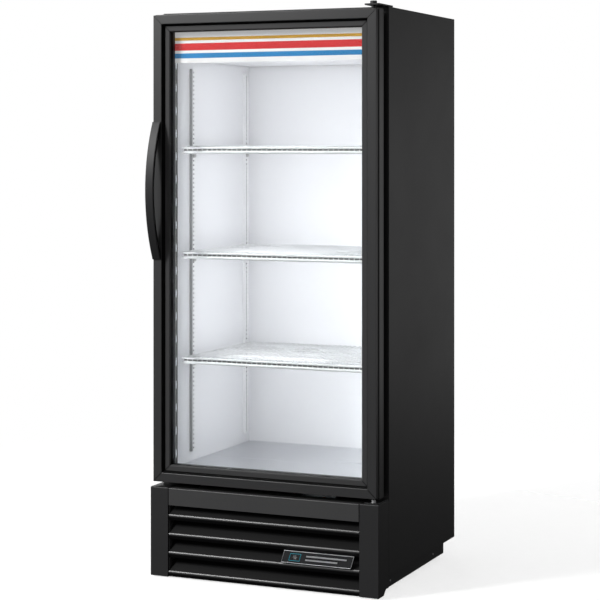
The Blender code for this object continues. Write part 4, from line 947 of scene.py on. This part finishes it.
footProfile = rounded(
    [(0, 0), (0.0165, 0), (0.0165, 0.0060), (0.0118, 0.0085), (0.0118, 0.0086), (0.0098, 0.0086), (0.0098, 0.0146),
     (0.0048, 0.0146),
     (0.0048, 0.0395), (0, 0.0395)],
    (0, 0.0016, 0.0016, 0, 0, 0, 0.0010, 0, 0.0012, 0),
)
for end in ("front", "rear"):
    for side in ("left", "right"):
        low, high = boxOf(f"{end}_{side}_foot")
        centre = ((low[0] + high[0]) / 2, (low[1] + high[1]) / 2, 0)
        ridgeZ = 0.0160 + np.arange(14) * 0.0016
        thread = repeated(lathe([(0.0046, 0), (0.0052, 0.0005), (0.0046, 0.0010)], centre, "Z", 24, closed=True),
                          np.stack([0 * ridgeZ, 0 * ridgeZ, ridgeZ], -1))
        foot = together(lathe(footProfile, centre, "Z", 40), thread)
        addPiece(f"{end}{side.title()}Foot", foot, "rubberBlack", [f"{end}_{side}_foot"],
                 f"{end}_{side}_leveller")
print("base made")

# ---- screws ----

head = screwHead()
railFace = boxOf("base_frame")[1][0]
sideways = turnedAbout(head, (0, 0, 0), "Z", [np.pi / 2])
otherWay = turnedAbout(head, (0, 0, 0), "Z", [-np.pi / 2])
upward = turnedAbout(head, (0, 0, 0), "X", [-np.pi / 2])
backward = turnedAbout(head, (0, 0, 0), "Z", [np.pi])
screws = {"railZ": 0.0295, "railYs": (0.100, 0.447), "topYs": (0.084, 0.100), "rearInset": 0.012,
          "rearZs": np.linspace(0.30, 1.55, 7), "crossZs": (0.2755, 1.572), "crossXs": (-0.2, 0.0, 0.2), "ventX": 0.334,
          "ventZs": (0.065, 0.155, 0.245)}
rearEdge = sideX - screws["rearInset"]
rearSpots = [(x, rearY, z) for x in (-rearEdge, rearEdge) for z in screws["rearZs"]]
rearSpots += [(x, rearY, z) for z in screws["crossZs"] for x in screws["crossXs"]]
rearSpots += [(x, rearY, z) for x in (-screws["ventX"], screws["ventX"]) for z in screws["ventZs"]]
allScrews = together(
    repeated(sideways, [(railFace, frontY + y, screws["railZ"]) for y in screws["railYs"]]),
    repeated(otherWay, [(-railFace, frontY + y, screws["railZ"]) for y in screws["railYs"]]),
    repeated(upward, [(hinge["pinX"], frontY + y, caseTop + hair + hinge["plate"]) for y in screws["topYs"]]),
    repeated(backward, rearSpots),
)
addPiece("panelScrews", allScrews, "screwSteel", sharp=60)
print("screws made")

# ---- rear vent panel ----

keepNode("rear_louver_panel", "galvanised")
vent = {"hoodDepth": 0.009, "hoodDrop": 0.010, "sheet": 0.0008, "skin": 0.0013, "wide": 0.140, "left": -0.310,
        "low": 0.088,
        "stepX": 0.165, "stepZ": 0.024, "boxTop": 0.150}
sweep = np.radians(np.linspace(0, 90, 7))
hoodOuter = np.stack([rearY - vent["skin"] - vent["hoodDepth"] * np.sin(sweep),
                      vent["hoodDrop"] * (np.cos(sweep) - 1)], -1)
hoodInner = np.stack([rearY - vent["skin"] - (vent["hoodDepth"] - vent["sheet"]) * np.sin(sweep),
                      (vent["hoodDrop"] - vent["sheet"]) * (np.cos(sweep) - 1) - vent["sheet"]], -1)
hood = extruded(np.concatenate([hoodOuter, hoodInner[::-1]]), "X", 0, vent["wide"])
hoodSpots = [(vent["left"] + column * vent["stepX"], 0,
              vent["low"] + row * vent["stepZ"]) for column in range(3) for row in range(7)]
hoodSpots = [spot for spot in hoodSpots if not (spot[0] > 0 and spot[2] < vent["boxTop"])]  # none behind the inlet box
addPiece("ventHoods", repeated(hood, hoodSpots), "galvanised")
softened("power_inlet_box", "powerInletBox", "fanPlastic", 0.0008)
print("rear made")

# ---- machinery ----


def coilShape(low, high, pitch, tubeRadius, rows, layers):
    # Thin fins at an even pitch, pierced by straight tubes, with a half ring joining neighbouring tubes at each end.
    inset = 0.016
    fins = int((high[0] - low[0] - 2 * inset) / pitch)
    plate = extruded(rounded(rectangle(low[1] + 0.001, low[2] + 0.001, high[1] - 0.001, high[2] - 0.001), 0.002, 1),
                     "X", 0, 0.0003)
    places = low[0] + inset + np.arange(fins) * pitch
    pack = repeated(plate, np.stack([places, 0 * places, 0 * places], -1))
    ends = [extruded(rectangle(low[1], low[2], high[1], high[2]), "X", x,
                     x + 0.0012) for x in (low[0] + inset - 0.003, high[0] - inset + 0.0015)]
    stepZ, stepY = (high[2] - low[2]) / rows, (high[1] - low[1]) / layers
    tubeZ, tubeY = low[2] + stepZ * (np.arange(rows) + 0.5), low[1] + stepY * (np.arange(layers) + 0.5)
    starts = [(low[0] + inset - 0.004, y, z) for y in tubeY for z in tubeZ]
    stops = [(high[0] - inset + 0.004, y, z) for y in tubeY for z in tubeZ]
    tubes = rods(starts, stops, tubeRadius, 10)
    bends = []
    turn = np.linspace(0, np.pi, 9)[:, None]
    ring = np.linspace(0, 2 * np.pi, 10, endpoint=False)[None, :]
    for x, way, first in ((low[0] + inset - 0.004, -1, 0), (high[0] - inset + 0.004, 1, 1)):
        reach = min(stepZ / 2, inset - 0.004 - tubeRadius)
        for y in tubeY:
            for z in (tubeZ[first:-1:2] + tubeZ[first + 1::2]) / 2:
                flat = stepZ / 2 + tubeRadius * np.cos(ring)
                bends.append(loft(np.stack([
                    x + way * np.sin(turn) * (reach + tubeRadius * np.cos(ring)),
                    y + tubeRadius * np.sin(ring) + 0 * turn,
                    z - np.cos(turn) * flat,
                ], -1)))
    return together(pack, *ends), together(tubes, *bends)


for node, name, pitch, rows, layers in (
    ("condenser_coil", "condenserCoil", 0.0032, 8, 2),
    ("evaporator_coil", "evaporatorCoil", 0.0050, 4, 5),
):
    low, high = boxOf(node)
    fins, tubes = coilShape(low, high, pitch, 0.0042, rows, layers)
    addPiece(name + "Fins", fins, "finAluminium", [node])
    addPiece(name + "Tubes", tubes, "copper", sharp=60)


def fanShape(node, hub, blades, tilt):
    # Blade sections are thin lens shapes, set at a pitch that flattens outwards: at radius r and chord place s in
    # -1..1 the sheet lies at height s sin(pitch).
    low, high = boxOf(node)
    centre = (low + high) / 2
    tip = (high[2] - low[2]) / 2 - 0.0008
    share = np.linspace(0, 1, 12)[:, None]
    radius = hub * 0.9 + share * (tip - hub * 0.9)
    s = np.concatenate([np.linspace(-1, 1, 9), np.linspace(1, -1, 9)[1:-1]])[None, :]
    side = np.concatenate([np.ones(9), -np.ones(7)])[None, :]
    chord = tip * (0.30 + 0.16 * np.sin(share * np.pi * 0.62)) * np.where(share > 0.93, 0.9, 1)
    pitchAngle = np.radians(tilt) * (1.15 - 0.4 * share)
    lead = share**2 * 0.35
    angle = lead + s * chord * np.cos(pitchAngle) / np.maximum(radius, hub)
    height = s * chord * np.sin(pitchAngle) * 0.55 + 0.0020 * (1 - s**2) * tip / 0.08
    thickness = side * 0.0007 * np.sqrt(np.maximum(1 - s**2, 0.02))
    blade = loft(np.stack([radius * np.cos(angle), height + thickness, radius * np.sin(angle)], -1))
    fan = turnedAbout(blade, (0, 0, 0), "Y", np.arange(blades) * 2 * np.pi / blades)
    half = min((high[1] - low[1]) / 2, hub * 0.6)
    hubProfile = rounded([(0.0025, -half), (hub, -half), (hub, half), (0.0025, half)], (0, 0.0012, 0.0012, 0))
    return repeated(together(fan, lathe(hubProfile, (0, 0, 0), "Y", 32, closed=True)), [centre])


addPiece("condenserFan", fanShape("condenser_fan_blade", 0.016, 4, 30), "finAluminium",
         ["condenser_fan_blade"], "condenser_fan", sharp=50)
addPiece("evaporatorFan", fanShape("evaporator_fan_blade", 0.009, 4, 30), "fanPlastic",
         ["evaporator_fan_blade"], "evaporator_fan", sharp=50)
for node, name in (("condenser_fan_motor", "condenserMotor"), ("evaporator_fan_motor", "evaporatorMotor"),
                   ("condenser_fan_shroud", "condenserShroud")):
    softened(node, name, "motorBlack", 0.0006)
softened("condensate_pan", "condensatePan", "fanPlastic", 0.0009)
for node in ("suction_line", "discharge_line"):
    keepNode(node, "copper")
    frame["nodes"][node].data.polygons.foreach_set("use_smooth", np.ones(len(frame["nodes"][node].data.polygons), bool))

drierLow, drierHigh = boxOf("filter_drier")
drierMiddle = (drierLow + drierHigh) / 2
drierProfile = rounded(
    [(0, -0.062), (0.0035, -0.062), (0.0035, -0.049), (0.0110, -0.038), (0.0110, 0.038), (0.0035, 0.049),
     (0.0035, 0.062), (0, 0.062)],
    (0, 0.0004, 0.003, 0.005, 0.005, 0.003, 0.0004, 0))
addPiece("filterDrier", lathe(drierProfile, drierMiddle, "Y", 32), "copper", ["filter_drier"],
         sharp=50)


def compressorShape():
    # Two pressed cups: the radius falls from the seam as R (1 - t^p)^(1/q), t being the share of the way to the end
    # of each cup.
    low, high = boxOf("compressor")
    centre = ((low[0] + high[0]) / 2, frontY + 0.430, 0)
    seam, floor, crown, wide = 0.1335, 0.0668, high[2], 0.0865
    t = np.sin(np.linspace(0, np.pi / 2, 14))
    upper = np.stack([wide * (1 - t**3.0) ** (1 / 2.6), seam + 0.003 + (crown - seam - 0.003) * t], -1)
    lower = np.stack([wide * (1 - t**5.0) ** (1 / 2.6), seam - 0.003 - (seam - 0.003 - floor) * t], -1)
    lip = [(wide + 0.0028, seam - 0.0024), (wide + 0.0034, seam), (wide + 0.0028, seam + 0.0024)]
    shell = lathe(np.concatenate([lower[::-1], lip, upper]), centre, "Z", 56)
    x, y = centre[:2]
    plate = extruded(rounded(rectangle(x - 0.105, y - 0.070, x + 0.105, y + 0.070), 0.014, 6), "Z", 0.0610, 0.0650)
    grommet = lathe(rounded([(0, 0.0466), (0.013, 0.0466), (0.011, 0.0535), (0.013, 0.0608), (0.013, 0.0655),
                             (0.006, 0.0680), (0, 0.0680)],
                            (0, 0.001, 0.002, 0.001, 0.001, 0.001, 0)), (x, y, 0), "Z", 24)
    grommets = repeated(grommet, [(dx, dy, 0) for dx in (-0.088, 0.088) for dy in (-0.054, 0.054)])
    terminal = extruded(rounded(rectangle(x - 0.026, 0.110, x + 0.026, 0.165), 0.005), "Y", y - 0.104, y - 0.060)
    return together(shell, plate, terminal), grommets


shell, grommets = compressorShape()
addPiece("compressorShell", shell, "motorBlack", ["compressor"], soften=0.0008, sharp=40)
addPiece("compressorGrommets", grommets, "rubberBlack", sharp=40)
print("machinery made")

# ---- cold unit and controls ----

softened("evaporator_cover", "evaporatorCover", "linerWhite", 0.0005)
softened("temperature_control", "controlBox", "controlWhite", 0.0015, 3)
softened("light_switch", "lightRocker", "rockerBlack", 0.0006)
fanLow, fanHigh = boxOf("evaporator_fan_blade")
guardMiddle = (fanLow + fanHigh) / 2
guardY = boxOf("evaporator_cover")[0][1] - 0.0016
angle = np.linspace(0, 2 * np.pi, 8, endpoint=False)
rings = [lathe(np.stack([r + 0.0009 * np.cos(angle), 0.0009 * np.sin(angle)], -1),
               (guardMiddle[0], guardY, guardMiddle[2]), "Y", 40, closed=True)
         for r in (0.010, 0.018, 0.026, 0.034, 0.039)]
spoke = rods([(guardMiddle[0], guardY + 0.0006, guardMiddle[2] + 0.009)],
             [(guardMiddle[0], guardY + 0.0006, guardMiddle[2] + 0.040)], 0.0009, 8)
spokes = turnedAbout(spoke, (guardMiddle[0], 0, guardMiddle[2]), "Y", np.radians((45, 135, 225, 315)))
addPiece("fanGuard", together(*rings, spokes), "wireWhite", sharp=60)

dialLow, dialHigh = boxOf("temperature_dial")
dialCentre = np.array([(dialLow[0] + dialHigh[0]) / 2, dialHigh[1], (dialLow[2] + dialHigh[2]) / 2])
dial = {"radius": 0.0195, "height": 0.0137, "ribs": 30, "rib": 0.0004}
steps = dial["ribs"] * 4
turn = np.linspace(0, 2 * np.pi, steps, endpoint=False)
knobProfile = rounded([(0, 0), (dial["radius"], 0), (dial["radius"], -0.0012), (0.0178, -0.0032), (0.0165, -0.0125),
                       (0.0150, -dial["height"]), (0, -dial["height"])],
                      (0, 0.0003, 0.0004, 0.0006, 0.0012, 0.0006, 0))
knobR, knobY = knobProfile.T[:, :, None]
# knurl: the radius waves round the knob
grip = np.where((knobY < -0.0030) & (knobY > -0.0120), dial["rib"] * np.cos(dial["ribs"] * turn), 0)
knobRings = toAxes((knobR + grip) * np.cos(turn), (knobR + grip) * np.sin(turn), knobY, "Y")
addPiece("temperatureDial", loft(knobRings + dialCentre), "dialGrey", ["temperature_dial"], "dial",
         sharp=50)
pointer = extruded(rounded(rectangle(-0.0007, 0.0040, 0.0007, 0.0135), 0.0006), "Y", -0.0141, -0.0136)
addPiece("dialPointer", repeated(pointer, [dialCentre]), "markWhite", (), "dial")
tick = extruded(rectangle(-0.0004, 0.0206, 0.0004, 0.0232), "Y", -0.0003, 0.0003)
ticks = turnedAbout(tick, (0, 0, 0), "Y", np.radians(np.linspace(-135, 135, 10)))
addPiece("dialTicks", repeated(ticks, [dialCentre + (0, 0.0003, 0)]), "rockerBlack")
print("controls made")

# ---- room, light and camera ----

studio = {"paper": (0.93, 0.93, 0.93), "skyAim": (-0.62, -0.74, 0.26), "skyBright": 0.75, "horizon": 0.17,
          "ground": 0.025}


def addLight(name, place, aim, size, power, sizeY=None, colour=(1, 1, 1), inside=False):
    lamp = bpy.data.lights.new(name, "AREA")
    lamp.energy, lamp.size, lamp.color = power, size, colour
    if sizeY:
        lamp.shape, lamp.size_y = "RECTANGLE", sizeY
    obj = bpy.data.objects.new(name, lamp)
    bpy.context.scene.collection.objects.link(obj)
    direction = (np.array(aim, float) - place).tolist()
    obj.location = place
    obj.rotation_mode = "QUATERNION"
    obj.rotation_quaternion = Vector(direction).to_track_quat("-Z", "Y")
    obj.visible_camera = False
    if inside:
        obj.visible_transmission = obj.visible_glossy = False
    return obj


stripMiddle = (barLow[2] + barHigh[2]) / 2
stripColour = (0.96, 0.97, 1.0)
lamps = {
    "keySoftbox": {"place": (-2.32, -3.4, 3.35), "aim": (-0.1, 0, 0.6), "size": 0.42, "sizeY": 1.9, "power": 135},
    "fillSoftbox": {"place": (-3.4, -2.2, 2.4), "aim": (0, 0, 0.9), "size": 1.8, "power": 5},
    "sideSoftbox": {"place": (3.6, 1.2, 3.0), "aim": (0.3, 0, 0.9), "size": 1.6, "power": 8},
    "rimSoftbox": {"place": (2.2, 5.0, 0.75), "aim": (0.3, 0, 0.75), "size": 3.0, "sizeY": 2.2, "power": 7},
    "topSoftbox": {"place": (0, -0.4, 3.8), "aim": (0, 0, 0), "size": 2.4, "power": 3},
    "backSoftbox": {"place": (-1.6, 3.6, 2.2), "aim": (0, 0, 0.8), "size": 1.6, "power": 22},
    "roomStrip": {"place": (-0.282, frontY + 0.074, stripMiddle), "aim": (0.2538, frontY + 0.45, stripMiddle),
                  "size": 0.012, "sizeY": 1.18, "power": 0.45, "colour": stripColour, "inside": True},
    "roomStripRight": {"place": (0.282, frontY + 0.074, stripMiddle), "aim": (-0.2538, frontY + 0.45, stripMiddle),
                       "size": 0.012, "sizeY": 1.18, "power": 0.05, "colour": stripColour, "inside": True},
    "roomFront": {"place": (0, frontY + 0.112, stripMiddle), "aim": (0, frontY + 0.5, stripMiddle),
                  "size": 0.32, "sizeY": 1.12, "power": 3.1, "colour": (0.98, 0.98, 1.0), "inside": True},
}
for name, user in lamps.items():
    addLight(name, **user)

world = bpy.data.worlds.new("studioWorld")
bpy.context.scene.world = world
world.use_nodes = True
tree = world.node_tree
tree.nodes.clear()
# the sky brightens towards one direction, as the cosine of the angle from it
facing = tree.nodes.new("ShaderNodeVectorMath")
facing.operation = "DOT_PRODUCT"
facing.inputs[1].default_value = studio["skyAim"]
sky = tree.nodes.new("ShaderNodeTexCoord").outputs["Generated"]
tree.links.new(sky, facing.inputs[0])
height = tree.nodes.new("ShaderNodeSeparateXYZ")
tree.links.new(sky, height.inputs[0])


def stepUp(value, start, stop, low, high):
    step = tree.nodes.new("ShaderNodeMapRange")
    step.interpolation_type = "SMOOTHSTEP"
    for label, number in (("From Min", start), ("From Max", stop), ("To Min", low), ("To Max", high)):
        step.inputs[label].default_value = number
    tree.links.new(value, step.inputs["Value"])
    return step.outputs[0]


lobe = stepUp(facing.outputs["Value"], 0.2, 1.0, studio["horizon"], studio["horizon"] + studio["skyBright"])
above = stepUp(height.outputs["Z"], -0.28, 0.14, 0.0, 1.0)
soft, plain, path, mix, out = (
    tree.nodes.new("ShaderNode" + kind) for kind in ("Background", "Background", "LightPath", "MixShader",
                                                     "OutputWorld")
)
tree.links.new(mathNode(tree, "MULTIPLY_ADD", lobe, above, studio["ground"]), soft.inputs["Strength"])
plain.inputs["Color"].default_value = (1, 1, 1, 1)
tree.links.new(path.outputs["Is Camera Ray"], mix.inputs[0])
tree.links.new(soft.outputs[0], mix.inputs[1])
tree.links.new(plain.outputs[0], mix.inputs[2])
tree.links.new(mix.outputs[0], out.inputs["Surface"])


def addFloor():
    # A flat disc that fades out towards its rim: its alpha falls from its full value to 0 between two distances from
    # the middle.
    user = {"radius": 6.0, "fadeFrom": 0.5, "fadeTo": 2.6, "alpha": 0.42, "glow": 0.68}
    rim = [(0, -0.002), (user["radius"], -0.002), (user["radius"], -0.0005), (0, -0.0005)]
    mesh = closedMesh("studioFloor", lathe(rim, (0, 0, 0), "Z", 96))
    material, tree, shader, place = newMaterial("floorPaper")
    grain = noiseNode(tree, place, 40.0, 3.0)
    ramp = tree.nodes.new("ShaderNodeValToRGB")
    ramp.color_ramp.elements[0].color = (*(0.97 * np.array(studio["paper"])), 1)
    ramp.color_ramp.elements[1].color = (*studio["paper"], 1)
    tree.links.new(grain, ramp.inputs[0])
    tree.links.new(ramp.outputs["Color"], shader.inputs["Base Color"])
    shader.inputs["Roughness"].default_value = 0.8
    shader.inputs["Specular IOR Level"].default_value = 0.1
    tree.links.new(ramp.outputs["Color"], shader.inputs["Emission Color"])
    shader.inputs["Emission Strength"].default_value = user["glow"]
    length = tree.nodes.new("ShaderNodeVectorMath")
    length.operation = "LENGTH"
    tree.links.new(place, length.inputs[0])
    fade = tree.nodes.new("ShaderNodeMapRange")
    fade.interpolation_type = "SMOOTHSTEP"
    fade.inputs["From Min"].default_value, fade.inputs["From Max"].default_value = user["fadeFrom"], user["fadeTo"]
    fade.inputs["To Min"].default_value, fade.inputs["To Max"].default_value = user["alpha"], 0.0
    tree.links.new(length.outputs["Value"], fade.inputs["Value"])
    tree.links.new(fade.outputs[0], shader.inputs["Alpha"])
    mesh.materials.append(material)
    floor = bpy.data.objects.new("studioFloor", mesh)
    floor.visible_diffuse = floor.visible_glossy = False
    bpy.context.scene.collection.objects.link(floor)


addFloor()

view = {"lens": 108.80, "shiftX": -0.0072, "shiftY": -0.2571, "place": (2.0846, -4.7896, 1.2091), "turn": 23.5}
camera = bpy.data.objects.new("camera", bpy.data.cameras.new("camera"))
camera.data.sensor_width, camera.data.lens = 36, view["lens"]
camera.data.shift_x, camera.data.shift_y = view["shiftX"], view["shiftY"]
camera.data.clip_start, camera.data.clip_end = 0.1, 60
camera.location = view["place"]
camera.rotation_euler = (math.pi / 2, 0, math.radians(view["turn"]))
bpy.context.scene.collection.objects.link(camera)
bpy.context.scene.camera = camera
bpy.context.scene.view_settings.view_transform = "Standard"
print("studio made")
